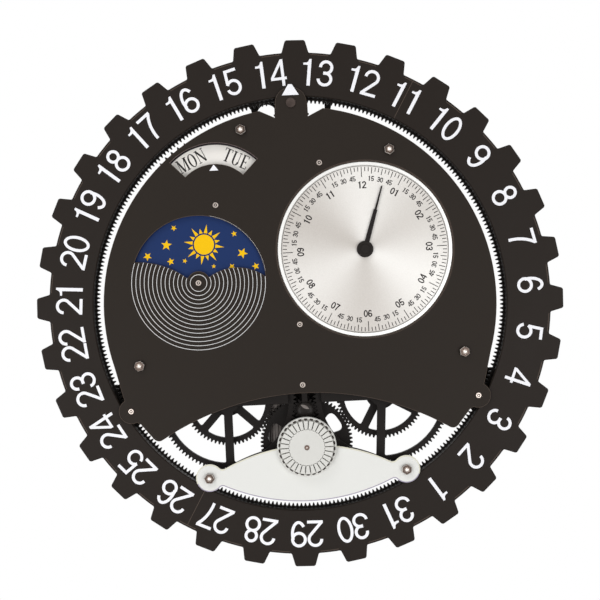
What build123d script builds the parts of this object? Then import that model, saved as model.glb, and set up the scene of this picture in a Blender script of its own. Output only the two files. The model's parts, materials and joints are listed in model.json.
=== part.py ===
from build123d import *
import math
import os

# Wall calendar clock. X to the right, Z up, the viewer on the -Y side.
# The origin is on the wall, behind the centre of the date ring, and a depth d lies at y = -d.
# Clock angles are in degrees, clockwise from the top as the viewer sees them.

# ---- depths of the layers, from the wall ----
COVER_FRONT = 2.0
BAR_REAR, BAR_FRONT = 10.0, 12.0
HOUSING_FRONT = 12.0
PLATE_FRONT = 14.0
SMALL_REAR, SMALL_FRONT = 17.0, 20.0
LARGE_REAR, LARGE_FRONT = 26.0, 29.0
MOVEMENT_FRONT, TIME_MOVEMENT_FRONT = 30.0, 33.5
BRIDGE_REAR, BRIDGE_FRONT = 31.5, 33.5
DAY_GEAR_REAR, DAY_GEAR_FRONT = 32.1, 33.5
DAY_DISC_FRONT = 34.6
SKY_REAR, SKY_FRONT = 36.4, 37.4
NUMBERS_REAR, NUMBERS_FRONT = 35.0, 38.0
FACE_REAR, FACE_FRONT = 39.0, 41.0
HAND_REAR, HAND_FRONT = 39.9, 40.9
KNOB_REAR, KNOB_STEP, KNOB_FRONT = 41.6, 45.0, 48.5
CLEAR = 0.3  # free space between two parts that pass each other

# ---- the date ring ----
TEETH_OUTSIDE = 32
RING_TIP_R = 200.0
RING_ROOT_R = 190.4
RING_INNER_R = 157.0
RING_WALL_R = 166.0
FIRST_TOOTH = 1.5
TOOTH_FLANK = [(188.4, 3.2), (190.4, 3.1), (199.1, 2.24), (200.0, 1.92)]  # radius, half angle
SEAM = 29.625
SEAM_GAP = 0.15
SPLICE = 1.5  # thickness of a splice plate
SCREW_HEAD, SCREW_FLATS = 1.8, 4.5
SPLICE_HALF = 5.0  # half angle of a splice plate
SPLICE_SCREWS = (-3, 3)  # angles past a seam
RING_SCREWS = (45, 90, 135)
RING_SCREW_R = 162.0

# ---- the gear train, module 1 mm ----
MODULE = 1.0
ADDENDUM = 0.9
DEDENDUM = 1.25
HALF_TOOTH = 0.70
HALF_TIP = 0.38
HALF_POINTED = 0.55  # the pointed teeth of the ring and the wheels are thinner
RING_TEETH = 310
PINION_TEETH = 12
LARGE_TEETH = 104
SMALL_TEETH = 68
CENTRE_TEETH = 70
DRIVE_TEETH = 16
TOP_TEETH = 26
DAY_TEETH = 56
DAY_PINION_TEETH = 8
PINION_ANGLE = 150.0
DRIVE_ANGLE = 70.0  # clock angle of the drive pinion about the left large wheel
ARBOR_FLATS = 6.0
PIVOT_R = 1.5
SLEEVE_R = 3.6
LARGE_SPOKES = dict(rim=3.2, hub_r=9.0, spoke_half=3.25)
SMALL_SPOKES = dict(rim=3.4, hub_r=12.0, spoke_half=3.1)
SPOKE_TURNS = {"left": (180.0, 223.0), "right": (183.7, 209.0)}  # first spoke of the large and small wheel
WINDOWS = (57, 173, 288)  # middles of the kidney windows of the centre wheel
WINDOW_HALF = 16.5
WINDOW_INNER_R, WINDOW_R = 15.0, 30.3
KNOB_BASE_R, KNOB_R, KNOB_WAIST_R = 22.4, 20.6, 13.4
KNOB_RIBS = 30
KNOB_Z = -108.22443  # the height at which the two closed sides of the train mesh together
COUPLING_Z = -81.53  # the height at which one pinion meshes with both large wheels

# ---- frame ----
HOUSING_R = 138.0
HOUSING_FLOOR = -74.5
HOUSING_WALL = 3.0
REAR_R = 146.0
REAR_FLOOR = -77.0
SPINE_HALF = 12.0
ROLLER_RING_R = 151.7
ROLLER_R = 5.0
ROLLER_PLACES = {"top": 0, "right": 120, "left": 240}
LOBE_R, LOBE_HALF, TOP_LOBE_HALF = 162.0, 6.5, 11.6
FACE_R = 148.6
SKIRT_TOP = -42.0
SKIRT = [(137.0, -64.5), (131.5, -82), (124.6, -86), (112.4, -101)]
EAR_R = 9.4
NECK_HALF = 12.0
NECK_CUT = [(12.6, 141), (25.8, 147.4), (25.8, 152), (12.6, 152)]  # clearance beside the neck
LENS_TOP = -107.3
LENS_TOP_R, LENS_LOW_R = 137.0, 150.0
BAR_INSET = 3.0
ARCH_R = 208.0
ARCH_TOP = -68.0
POST_PLACES = [(-38.8, 132.8), (72.6, 112.9), (-123.3, -41.8), (122.3, -42.3)]
POST_FLATS = 7.0
NUT = 3.2  # height of a nut
BRIDGE_TOP, BRIDGE_LOW, BRIDGE_END = -66.5, -76.4, 121.0
BRIDGE_POST_X, BRIDGE_POST_Z, BRIDGE_POST_FLATS = 117.0, -71.5, 6.0
NOTCH_HALF, NOTCH_TOP, ARCH_BLOCK_TOP = 12.5, -64.5, -54.0
TONGUE_HALF, TONGUE_R = 2.2, 6.0
TOP_CUT_X, TOP_CUT_Z, TOP_CUT_R = -19.1, 149.2, 7.6  # round cut beside the rear plate's top lobe
HANGING_HOLE_Z = 118.0
HANGING_HOLE_R = 4.0
STUD_R = 2.0
COLLAR_R = 3.4
RUN = 0.05  # radial running clearance
PIN_SIDES = 12

# ---- motor ----
MOTOR_X, MOTOR_DEPTH, MOTOR_R = -22.5, 8.5, 7.6
MOTOR_RIBS, RIB = 18, 0.8
MOTOR_TALL = 32.0
GEARBOX_LEFT, GEARBOX_RIGHT = -29.5, 9.0
GEARBOX_LOW, GEARBOX_TOP = -71.0, -44.0
NECK_R = 2.5

# ---- dials and windows ----
SKY_X, SKY_Z = -76.0, 18.8
SKY_WINDOW_R = 51.0
SKY_DISC_R = 53.0
SKY_TILT = 8.0
DAY_X, DAY_Z = -60.4, 77.0
DAY_WINDOW = (31.2, 47.2, 44.5)  # inner radius, outer radius, half angle
DAY_DISC_R = 48.5
TIME_X, TIME_Z = 51.0, 38.6
TIME_R = 66.2
HAND_ANGLE = 17.5
HAND_HUB_R = 6.3
MOVEMENT_WIDE = 56.0
POINTER_LOW, POINTER_TOP = 157.4, 165.6
SMALL_SCREW_R = 2.2


# ---- drawing helpers ----
def at(radius, clock, x=0.0, z=0.0):
    """The point at a radius and a clock angle about (x, z)."""
    turn = math.radians(clock)
    return (x + radius * math.sin(turn), z + radius * math.cos(turn))


def disc(radius, x=0.0, z=0.0):
    return Pos(x, z) * Circle(radius)


def plate(*points):
    """A straight-sided face. It faces the viewer whichever way round its points are given."""
    ahead = points[1:] + points[:1]
    area = sum(a[0] * b[1] - b[0] * a[1] for a, b in zip(points, ahead))
    return Polygon(*(points if area > 0 else reversed(points)), align=None)


def slab(face, rear, front):
    """A face drawn as the viewer sees it, made solid from one depth to another."""
    wall = Plane(origin=(0, -rear, 0), x_dir=(1, 0, 0), z_dir=(0, -1, 0))
    return extrude(wall * face, amount=front - rear)


def rod(radius, rear, front, x=0.0, z=0.0):
    return slab(disc(radius, x, z), rear, front)


def hexagon(across_flats, rear, front, x=0.0, z=0.0, turn=0.0):
    face = RegularPolygon(across_flats / 2, 6, major_radius=False)
    return slab(Pos(x, z) * Rot(0, 0, turn) * face, rear, front)


def pin(radius, rear, front, x=0.0, z=0.0):
    """A small round bar. Twelve sides are enough at this size and keep the model light."""
    return slab(Pos(x, z) * RegularPolygon(radius, PIN_SIDES), rear, front)


def pin_hole(radius, x=0.0, z=0.0):
    """A hole whose flats clear a round bar of the same radius by the running clearance."""
    return Pos(x, z) * RegularPolygon(radius + RUN, PIN_SIDES, major_radius=False)


def sector(inner, outer, middle, half_angle, x=0.0, z=0.0):
    """The part of a ring within half_angle degrees of a clock angle."""
    reach = outer * 1.5
    turns = [middle + half_angle * step / 2 for step in (-2, -1, 0, 1, 2)]
    fan = plate((x, z), *[at(reach, turn, x, z) for turn in turns])
    return (disc(outer, x, z) - disc(inner, x, z)) & fan


def rounded(face, places, radius):
    """The face with the corners nearest to some places rounded."""
    corners = []
    for place in places:
        corners.append(min(face.vertices(), key=lambda v: math.hypot(v.X - place[0], v.Y - place[1])))
    return fillet(corners, radius)


def both_sides(places):
    return [(side * x, z) for side in (-1, 1) for x, z in places]


def group(solids):
    """Separate solids that share one node."""
    return Compound(children=[piece for solid in solids for piece in solid.solids()])


def save(name, shape):
    export_step(shape, os.path.join("parts", name + ".step"))


# ---- gear geometry ----
def pitch_radius(teeth):
    return teeth * MODULE / 2


FLANK = (HALF_TOOTH - HALF_TIP) / ADDENDUM
POINTED_ROOT = (math.pi * MODULE / 2 - HALF_POINTED) * ADDENDUM / HALF_POINTED


def wheel_points(teeth, first, outward=1):
    """Pointed teeth whose neighbouring flanks meet in a V at the root. The ring's point inwards."""
    pitch = pitch_radius(teeth)
    points = []
    for tooth in range(teeth):
        middle = first + 360 * tooth / teeth
        points.append(at(pitch + outward * ADDENDUM, middle))
        points.append(at(pitch - outward * POINTED_ROOT, middle + 180 / teeth))
    return points


def pinion_points(teeth, first):
    """Straight-sided teeth with flat tips and flat roots, for gears of few teeth."""
    pitch = pitch_radius(teeth)
    tip_lean = math.degrees(HALF_TIP / pitch)
    root_lean = math.degrees((HALF_TOOTH + FLANK * DEDENDUM) / pitch)
    points = []
    for tooth in range(teeth):
        middle = first + 360 * tooth / teeth
        points.append(at(pitch - DEDENDUM, middle - root_lean))
        points.append(at(pitch + ADDENDUM, middle - tip_lean))
        points.append(at(pitch + ADDENDUM, middle + tip_lean))
        points.append(at(pitch - DEDENDUM, middle + root_lean))
    return points


def towards(a, b):
    """Clock angle of the line from point a to point b."""
    return math.degrees(math.atan2(b[0] - a[0], b[1] - a[1]))


def phase_outside(teeth_a, first_a, a, teeth_b, b):
    """First tooth of gear b that meshes with gear a from outside: a tooth of one meets a gap of the other."""
    line = towards(a, b)
    return line + 180 - (180 - teeth_a * (line - first_a)) / teeth_b


def phase_inside(ring_teeth, first_ring, teeth_b, b):
    """First tooth of gear b that meshes with the internal ring gear about the origin."""
    line = towards((0, 0), b)
    return line - (ring_teeth * (line - first_ring) - 180) / teeth_b


def wheel_centre():
    """Centre of the right large wheel: in mesh with the ring pinion and, one layer back, with the
    centre wheel."""
    pinion = at(pitch_radius(RING_TEETH) - pitch_radius(PINION_TEETH), PINION_ANGLE)
    to_pinion = pitch_radius(LARGE_TEETH + PINION_TEETH)
    to_knob = pitch_radius(SMALL_TEETH + CENTRE_TEETH)
    dx, dz = pinion[0], pinion[1] - KNOB_Z
    apart = math.hypot(dx, dz)
    along = (to_knob**2 - to_pinion**2 + apart**2) / (2 * apart)
    across = math.sqrt(to_knob**2 - along**2)
    x = (along * dx - across * dz) / apart
    z = KNOB_Z + (along * dz + across * dx) / apart
    return x, z


WHEEL_X, WHEEL_Z = wheel_centre()
PINION_X, PINION_Z = at(pitch_radius(RING_TEETH) - pitch_radius(PINION_TEETH), PINION_ANGLE)
DRIVE_X, DRIVE_Z = at(pitch_radius(LARGE_TEETH + DRIVE_TEETH), DRIVE_ANGLE, -WHEEL_X, WHEEL_Z)
TOP_Z = pitch_radius(RING_TEETH) - pitch_radius(TOP_TEETH)
RING_FIRST = SEAM + 180 / RING_TEETH  # the seams fall in the gaps between teeth


# ---- date ring ----
def half_ring(face, side):
    """One half of a ring face, split along the two seams."""
    reach = 2 * RING_TIP_R
    half = Pos(0, side * (reach / 2 + SEAM_GAP / 2)) * Rectangle(2 * reach, reach)
    return face & (Rot(0, 0, -SEAM - 90) * half)


def number_ring_face():
    face = disc(RING_ROOT_R)
    for tooth in range(TEETH_OUTSIDE):
        middle = FIRST_TOOTH + 360 * tooth / TEETH_OUTSIDE
        rising = [at(radius, middle - lean) for radius, lean in TOOTH_FLANK]
        falling = [at(radius, middle + lean) for radius, lean in reversed(TOOTH_FLANK)]
        face += plate(*rising, *falling)
    return face - disc(RING_INNER_R)


def date_ring():
    """Two number halves on two gear halves. Splice plates and screws behind hold the four together."""
    numbers = number_ring_face()
    teeth = plate(*wheel_points(RING_TEETH, RING_FIRST, -1))
    wall = disc(RING_WALL_R) - disc(RING_INNER_R)
    gear = disc(RING_WALL_R) - teeth
    for name, side in (("left", -1), ("right", 1)):
        save("number_ring_" + name, slab(half_ring(numbers, side), NUMBERS_REAR, NUMBERS_FRONT))
        body = slab(half_ring(gear, side), LARGE_REAR, LARGE_FRONT)
        body += slab(half_ring(wall, side), LARGE_FRONT, NUMBERS_REAR)
        save("gear_ring_" + name, body)
    splice_rear = LARGE_REAR - SPLICE
    inner, outer = RING_INNER_R + 1.5, RING_WALL_R - 0.5
    seams = (SEAM, SEAM + 180)
    splices = [slab(sector(inner, outer, seam, SPLICE_HALF), splice_rear, LARGE_REAR) for seam in seams]
    save("splice_plates", group(splices))
    screws = []
    for angles, seat in ((SPLICE_SCREWS, splice_rear), (RING_SCREWS, LARGE_REAR)):
        for turn in (seam + angle for seam in seams for angle in angles):
            place = at(RING_SCREW_R, turn)
            screws.append(hexagon(SCREW_FLATS, seat - SCREW_HEAD, seat, *place, turn=-turn))
    save("ring_screws", group(screws))


# ---- gear train ----
def hex_hole(x=0.0, z=0.0):
    return Pos(x, z) * RegularPolygon(ARBOR_FLATS / 2, 6, major_radius=False)


def spoked_wheel(teeth, first, x, z, first_spoke, rim, hub_r, spoke_half, spokes=4):
    """A spur wheel with straight spokes between its rim and a hub with a hexagonal hole."""
    face = plate(*wheel_points(teeth, first))
    rim_r = pitch_radius(teeth) - POINTED_ROOT - rim
    windows = disc(rim_r) - disc(hub_r)
    for spoke in range(spokes):
        turn = first_spoke + 360 * spoke / spokes
        windows -= Rot(0, 0, -turn) * Pos(0, rim_r / 2) * Rectangle(2 * spoke_half, rim_r + 4)
    return Pos(x, z) * (face - windows - hex_hole())


def arbor(rear, front, x, z, pivot_rear, pivot_front=None):
    """A hexagonal arbor with a round pivot turned on one end or on both."""
    shape = hexagon(ARBOR_FLATS, rear, front, x, z) + rod(PIVOT_R, pivot_rear, rear, x, z)
    if pivot_front:
        shape += pin(PIVOT_R, front, pivot_front, x, z)
    return shape


def pinion_with_sleeve(teeth, first, place, sleeve_front):
    """A pinion that runs on a stud, with a sleeve in front of it that keeps it at its depth."""
    bore = pin_hole(STUD_R, *place)
    toothed = Pos(*place) * plate(*pinion_points(teeth, first)) - bore
    sleeve = Pos(*place) * RegularPolygon(SLEEVE_R, PIN_SIDES) - bore
    return slab(toothed, LARGE_REAR, LARGE_FRONT) + slab(sleeve, LARGE_FRONT, sleeve_front)


def pinion_on_arbor(teeth, first, place):
    face = plate(*pinion_points(teeth, first)) - hex_hole()
    return slab(Pos(*place) * face, LARGE_REAR, LARGE_FRONT)


def side_train(name, side):
    """Ring pinion, large wheel and small wheel of one side. The two wheels share one arbor."""
    ring_pinion = (side * PINION_X, PINION_Z)
    centre = (side * WHEEL_X, WHEEL_Z)
    pinion_first = phase_inside(RING_TEETH, RING_FIRST, PINION_TEETH, ring_pinion)
    large_first = phase_outside(PINION_TEETH, pinion_first, ring_pinion, LARGE_TEETH, centre)
    small_first = phase_outside(CENTRE_TEETH, 0.0, (0.0, KNOB_Z), SMALL_TEETH, centre)
    large_spoke, small_spoke = SPOKE_TURNS[name]
    pinion = pinion_with_sleeve(PINION_TEETH, pinion_first, ring_pinion, FACE_REAR - CLEAR)
    large = spoked_wheel(LARGE_TEETH, large_first, *centre, large_spoke, **LARGE_SPOKES)
    small = spoked_wheel(SMALL_TEETH, small_first, *centre, small_spoke, **SMALL_SPOKES)
    save(name + "_pinion", pinion)
    save(name + "_large_wheel", slab(large, LARGE_REAR, LARGE_FRONT))
    save(name + "_small_wheel", slab(small, SMALL_REAR, SMALL_FRONT))
    rear, front = PLATE_FRONT + CLEAR, BRIDGE_REAR - CLEAR
    save(name + "_arbor", arbor(rear, front, *centre, HOUSING_FRONT, BRIDGE_FRONT))
    return large_first, centre


def centre_wheel_and_knob():
    """Centre wheel with three kidney windows, and the setting knob on the front of its arbor."""
    face = plate(*wheel_points(CENTRE_TEETH, 0.0))
    for middle in WINDOWS:
        window = sector(WINDOW_INNER_R, WINDOW_R, middle, WINDOW_HALF)
        corners = [at(WINDOW_R, middle + lean) for lean in (-WINDOW_HALF, WINDOW_HALF)]
        face -= rounded(window, corners, 4.5)
    face -= hex_hole()
    save("centre_wheel", slab(Pos(0, KNOB_Z) * face, SMALL_REAR, SMALL_FRONT))
    save("centre_arbor", arbor(PLATE_FRONT + CLEAR, FACE_REAR - CLEAR, 0, KNOB_Z, BAR_REAR, KNOB_REAR))
    save("knob_base", rod(KNOB_BASE_R, KNOB_REAR, KNOB_STEP, 0, KNOB_Z))
    pitch = 360 / KNOB_RIBS
    points = []
    for rib in range(KNOB_RIBS):
        middle = pitch * rib
        points += [at(KNOB_R, middle - 3.2), at(KNOB_R, middle + 3.2)]
        points += [at(KNOB_WAIST_R, middle + 4.9), at(KNOB_WAIST_R, middle + pitch - 4.9)]
    save("knob_wheel", slab(Pos(0, KNOB_Z) * plate(*points), KNOB_STEP, KNOB_FRONT))
    save("knob_screw", pin(1.9, KNOB_FRONT, KNOB_FRONT + 0.8, 0, KNOB_Z))


def gear_train():
    """The train of both sides. The drive pinion turns the left side, and the coupling pinion hands it on."""
    large_first, centre = side_train("left", -1)
    side_train("right", 1)
    rear, front = PLATE_FRONT + CLEAR, LARGE_FRONT + 1
    drive_place, coupling_place, top_place = (DRIVE_X, DRIVE_Z), (0, COUPLING_Z), (0, TOP_Z)
    drive_first = phase_outside(LARGE_TEETH, large_first, centre, DRIVE_TEETH, drive_place)
    save("drive_pinion", pinion_on_arbor(DRIVE_TEETH, drive_first, drive_place))
    save("drive_arbor", arbor(rear, front, *drive_place, HOUSING_FRONT + 0.2))
    coupling_first = phase_outside(LARGE_TEETH, large_first, centre, DRIVE_TEETH, coupling_place)
    coupling = pinion_with_sleeve(DRIVE_TEETH, coupling_first, coupling_place, BRIDGE_REAR - CLEAR)
    save("coupling_pinion", coupling)
    top_first = phase_inside(RING_TEETH, RING_FIRST, TOP_TEETH, top_place)
    save("top_gear", pinion_on_arbor(TOP_TEETH, top_first, top_place))
    save("top_arbor", arbor(rear, front, *top_place, HOUSING_FRONT))
    centre_wheel_and_knob()


# ---- rollers that carry the ring ----
def rollers():
    """Three rollers inside the ring's wall. The side pins stand on the rear plate, the top one hangs
    from the front plate, and a hexagonal collar holds each roller back."""
    rear, front = LARGE_FRONT + 2 * CLEAR, NUMBERS_REAR - 2 * CLEAR
    collar = RegularPolygon(COLLAR_R, 6) - RegularPolygon(STUD_R, PIN_SIDES)
    pins = []
    for name, turn in ROLLER_PLACES.items():
        place = at(ROLLER_RING_R, turn)
        save(name + "_roller", slab(disc(ROLLER_R, *place) - pin_hole(STUD_R, *place), rear, front))
        if name == "top":
            pins.append(pin(STUD_R, rear - 0.2, FACE_REAR, *place))
        else:
            foot_front = LARGE_REAR - 2 * CLEAR
            foot = hexagon(5.6, PLATE_FRONT, foot_front, *place)
            pins.append(foot + pin(STUD_R, foot_front, FACE_REAR, *place))
        pins.append(slab(Pos(*place) * collar, front + CLEAR, FACE_REAR))
    save("roller_pins", group(pins))


# ---- frame, from the wall forward ----
def housing_face(inset=0.0):
    face = disc(HOUSING_R - inset)
    face -= Pos(0, HOUSING_FLOOR + inset - HOUSING_R) * Rectangle(4 * HOUSING_R, 2 * HOUSING_R)
    corner_x = math.sqrt((HOUSING_R - inset) ** 2 - (HOUSING_FLOOR + inset) ** 2)
    return rounded(face, both_sides([(corner_x, HOUSING_FLOOR + inset)]), 6)


def motor_neck(radius):
    """The round neck between the gearbox inside the housing and the motor can under it."""
    return Pos(MOTOR_X, -MOTOR_DEPTH, HOUSING_FLOOR) * Cylinder(radius, 7)


def back_of_clock():
    """A shallow housing: a wall all round, closed by a flat cover with the hanging hole."""
    save("back_cover", slab(housing_face() - disc(HANGING_HOLE_R, 0, HANGING_HOLE_Z), 0, COVER_FRONT))
    wall = slab(housing_face() - housing_face(HOUSING_WALL), COVER_FRONT, HOUSING_FRONT)
    save("rear_housing", wall - motor_neck(NECK_R + 0.1))


def rear_plate_face():
    """A disc with a straight foot, three lobes for the roller pins and a spine down to the knob."""
    root = REAR_R - 16
    lobes = sector(root, LOBE_R, 118, LOBE_HALF) + sector(root, LOBE_R, -118, LOBE_HALF)
    top_lobe = sector(root, LOBE_R, 0, TOP_LOBE_HALF) - plate((13, 143), (26.4, 143), (26.4, 175), (13, 175))
    below = Pos(0, REAR_FLOOR - REAR_R) * Rectangle(4 * REAR_R, 2 * REAR_R)
    face = disc(REAR_R) + top_lobe - disc(TOP_CUT_R, TOP_CUT_X, TOP_CUT_Z) - below + lobes
    spine = plate((-SPINE_HALF, -60), (SPINE_HALF, -60), (SPINE_HALF, -133), (-SPINE_HALF, -133))
    return face + spine


def rear_plate():
    face = rear_plate_face()
    for x, z in both_sides([(WHEEL_X, WHEEL_Z)]) + [(0, TOP_Z), (DRIVE_X, DRIVE_Z), (0, KNOB_Z)]:
        face -= pin_hole(PIVOT_R, x, z)
    save("rear_plate", slab(face, HOUSING_FRONT, PLATE_FRONT))


def lens_face(inset, end_r):
    """The lower plate's outline: two arcs that cross at the studs, with a round end about each stud."""
    face = disc(LENS_TOP_R - inset, 0, LENS_TOP - LENS_TOP_R) & disc(LENS_LOW_R - inset)
    for side in (-1, 1):
        face += disc(end_r, side * PINION_X, PINION_Z)
    return face


def lower_bar():
    face = lens_face(BAR_INSET, 8.0)
    face -= pin_hole(PIVOT_R, 0, KNOB_Z)
    save("lower_bar", slab(face, BAR_REAR, BAR_FRONT))
    save("bar_screws", group([hexagon(5.5, BAR_REAR - 2, BAR_REAR, x, -128.0) for x in (-7, 7)]))


def posts_and_nuts():
    """Hexagon posts between the plates, studs that carry the ring pinions, and a nut over the end of each."""
    posts = [hexagon(POST_FLATS, PLATE_FRONT, FACE_REAR, x, z) for x, z in POST_PLACES]
    save("spacer_posts", group(posts))
    stud_places = both_sides([(PINION_X, PINION_Z)])
    studs = []
    for x, z in stud_places:
        shoulder = hexagon(POST_FLATS, BAR_FRONT, LARGE_REAR - CLEAR, x, z)
        studs.append(shoulder + pin(STUD_R, LARGE_REAR - CLEAR, FACE_REAR, x, z))
    save("lower_studs", group(studs))
    nuts = []
    for x, z in POST_PLACES + stud_places:
        nuts.append(hexagon(POST_FLATS, FACE_FRONT, FACE_FRONT + NUT, x, z, turn=11 + 3 * x))
    save("hex_nuts", group(nuts))


# ---- front ----
EAR_X, EAR_Z = at(ROLLER_RING_R, ROLLER_PLACES["right"])


def sky_window():
    """Half-disc window with two humps and a hub, tilted like the disc's axis."""
    left_end, right_end = at(SKY_WINDOW_R, -77.6), at(SKY_WINDOW_R, 79.1)
    left_dip, right_dip = at(8.9, -74), at(8.9, 56)
    outline = [
        ThreePointArc(left_end, (0, SKY_WINDOW_R), right_end),
        ThreePointArc(right_end, (29, 14.6), right_dip),
        ThreePointArc(right_dip, (0, 8.9), left_dip),
        ThreePointArc(left_dip, (-30.5, 10.8), left_end),
    ]
    return Pos(SKY_X, SKY_Z) * Rot(0, 0, -SKY_TILT) * make_face(outline)


def front_plate():
    """Front plate: a disc with an arched foot, two ears and a neck over the roller pins."""
    side_x = math.sqrt(FACE_R**2 - SKIRT_TOP**2)
    band = Pos(0, SKIRT_TOP + FACE_R) * Rectangle(2 * FACE_R, 2 * FACE_R)
    low = [(side_x, SKIRT_TOP), *SKIRT]
    skirt = plate(*[(-x, z) for x, z in low], *reversed(low))
    face = (disc(FACE_R) & band) + skirt
    face -= disc(ARCH_R, 0, ARCH_TOP - ARCH_R)
    for side in (-1, 1):
        face += disc(EAR_R, side * EAR_X, EAR_Z)
    face += disc(NECK_HALF, 0, ROLLER_RING_R) + Pos(0, 143) * Rectangle(2 * NECK_HALF, 18)
    for side in (-1, 1):
        face -= plate(*[(side * x, z) for x, z in NECK_CUT])
    face = rounded(face, both_sides([SKIRT[-1]]), 5)
    face = rounded(face, both_sides([SKIRT[0]]), 4)
    inner, outer, half = DAY_WINDOW
    face -= sector(inner, outer, 0, half, DAY_X, DAY_Z)
    face -= disc(TIME_R + 0.3, TIME_X, TIME_Z)
    face -= sky_window()
    save("front_plate", slab(face, FACE_REAR, FACE_FRONT))


def lower_plate():
    face = lens_face(0.0, 10.4)
    face = rounded(face, both_sides([(64, -121)]), 4)
    face = rounded(face, both_sides([(66, -135)]), 3)
    face -= pin_hole(PIVOT_R, 0, KNOB_Z)
    save("lower_plate", slab(face, FACE_REAR, FACE_FRONT))


def pointer_and_cap():
    face = plate((-6.4, POINTER_LOW), (6.4, POINTER_LOW), (1.4, POINTER_TOP), (-1.4, POINTER_TOP))
    save("pointer", slab(face, FACE_FRONT, FACE_FRONT + 0.8))
    save("top_pin_cap", pin(3.9, FACE_FRONT, FACE_FRONT + 1.0, 0, ROLLER_RING_R))


def small_screws():
    places = [(19.4, 105.4), (DAY_X, DAY_Z), (SKY_X, SKY_Z), (-1, -16), (-1, -61.8)]
    places += both_sides([(EAR_X, EAR_Z)])
    screws = [pin(SMALL_SCREW_R, FACE_FRONT, FACE_FRONT + 1.3, x, z) for x, z in places]
    save("small_screws", group(screws))


def gear_bridge():
    """Bar across the front of the large wheels, which carries the front pivots of their arbors.
    It arches over the coupling pinion, whose stud hangs in a tongue."""
    bar = [(26, BRIDGE_TOP), (BRIDGE_END, BRIDGE_TOP), (BRIDGE_END, BRIDGE_LOW), (NOTCH_HALF, BRIDGE_LOW)]
    half = plate((0, ARCH_BLOCK_TOP), (20, ARCH_BLOCK_TOP), *bar, (NOTCH_HALF, NOTCH_TOP), (0, NOTCH_TOP))
    tongue = plate(*both_sides([(TONGUE_HALF, COUPLING_Z)]), *reversed(both_sides([(TONGUE_HALF, -60)])))
    face = half + mirror(half, Plane.YZ) + tongue + disc(TONGUE_R, 0, COUPLING_Z)
    face -= pin_hole(STUD_R, 0, COUPLING_Z)
    for side in (-1, 1):
        face -= pin_hole(PIVOT_R, side * WHEEL_X, WHEEL_Z)
    save("gear_bridge", slab(face, BRIDGE_REAR, BRIDGE_FRONT))
    places = both_sides([(BRIDGE_POST_X, BRIDGE_POST_Z)])
    posts = [hexagon(BRIDGE_POST_FLATS, PLATE_FRONT, BRIDGE_REAR, x, z) for x, z in places]
    save("bridge_posts", group(posts))
    screws = [hexagon(5.0, BRIDGE_FRONT, BRIDGE_FRONT + 2, x, z) for x, z in places]
    save("bridge_screws", group(screws))


def bridge_cap():
    """Shoulder screw in the bridge's tongue. Its shank is the coupling pinion's stud and ends in a washer."""
    place = (0, COUPLING_Z)
    end = LARGE_REAR - 1
    shank = pin(STUD_R, end, BRIDGE_FRONT, *place)
    washer = pin(3.2, end, LARGE_REAR - CLEAR, *place)
    head = rod(TONGUE_R, BRIDGE_FRONT, BRIDGE_FRONT + 2, *place)
    save("bridge_cap", shank + washer + head)


def motor():
    """Ribbed motor can that hangs under the gearbox, and the gearbox behind the rear plate."""
    left, right, low, top = GEARBOX_LEFT, GEARBOX_RIGHT, GEARBOX_LOW, GEARBOX_TOP
    box = plate((left, low), (right, low), (right, top), (left, top))
    save("drive_gearbox", slab(box, COVER_FRONT + 0.5, HOUSING_FRONT))
    pitch = 360 / MOTOR_RIBS
    outline = []
    for rib in range(MOTOR_RIBS):
        middle = pitch * rib
        outline += [at(MOTOR_R, middle - 5), at(MOTOR_R, middle + 5)]
        outline += [at(MOTOR_R - RIB, middle + 6), at(MOTOR_R - RIB, middle + pitch - 6)]
    can = extrude(Pos(MOTOR_X, -MOTOR_DEPTH, HOUSING_FLOOR - 3.5) * plate(*outline), -MOTOR_TALL)
    save("drive_motor", can + motor_neck(NECK_R))


# ---- day and night disc, weekday wheel ----
DAY_SCALE = 2 * math.hypot(SKY_X - DAY_X, SKY_Z - DAY_Z) / (DAY_TEETH + DAY_PINION_TEETH)


def sky_disc_set():
    """Day and night disc with a pinion behind it. The weekday wheel turns once for seven turns of the disc."""
    hub = (SKY_X, SKY_Z)
    day = (DAY_X, DAY_Z)
    save("sky_disc", slab(disc(SKY_DISC_R, *hub) - pin_hole(STUD_R, *hub), SKY_REAR, SKY_FRONT))
    teeth = Pos(*hub) * scale(plate(*pinion_points(DAY_PINION_TEETH, 0.0)), by=DAY_SCALE)
    collar = Pos(*hub) * RegularPolygon(2 * STUD_R, PIN_SIDES)
    pinion = slab(teeth - pin_hole(STUD_R, *hub), DAY_GEAR_REAR, DAY_GEAR_FRONT)
    save("day_pinion", pinion + slab(collar - pin_hole(STUD_R, *hub), DAY_GEAR_FRONT, SKY_REAR))
    day_first = phase_outside(DAY_PINION_TEETH, 0.0, hub, DAY_TEETH, day)
    gear = Pos(*day) * scale(plate(*wheel_points(DAY_TEETH, day_first)), by=DAY_SCALE)
    save("day_wheel", slab(gear - pin_hole(STUD_R, *day), DAY_GEAR_REAR, DAY_GEAR_FRONT))
    save("day_disc", slab(disc(DAY_DISC_R, *day) - pin_hole(STUD_R, *day), DAY_GEAR_FRONT, DAY_DISC_FRONT))
    posts = [pin(STUD_R, MOVEMENT_FRONT, FACE_REAR, *place) for place in (hub, day)]
    save("disc_posts", group(posts))


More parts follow.
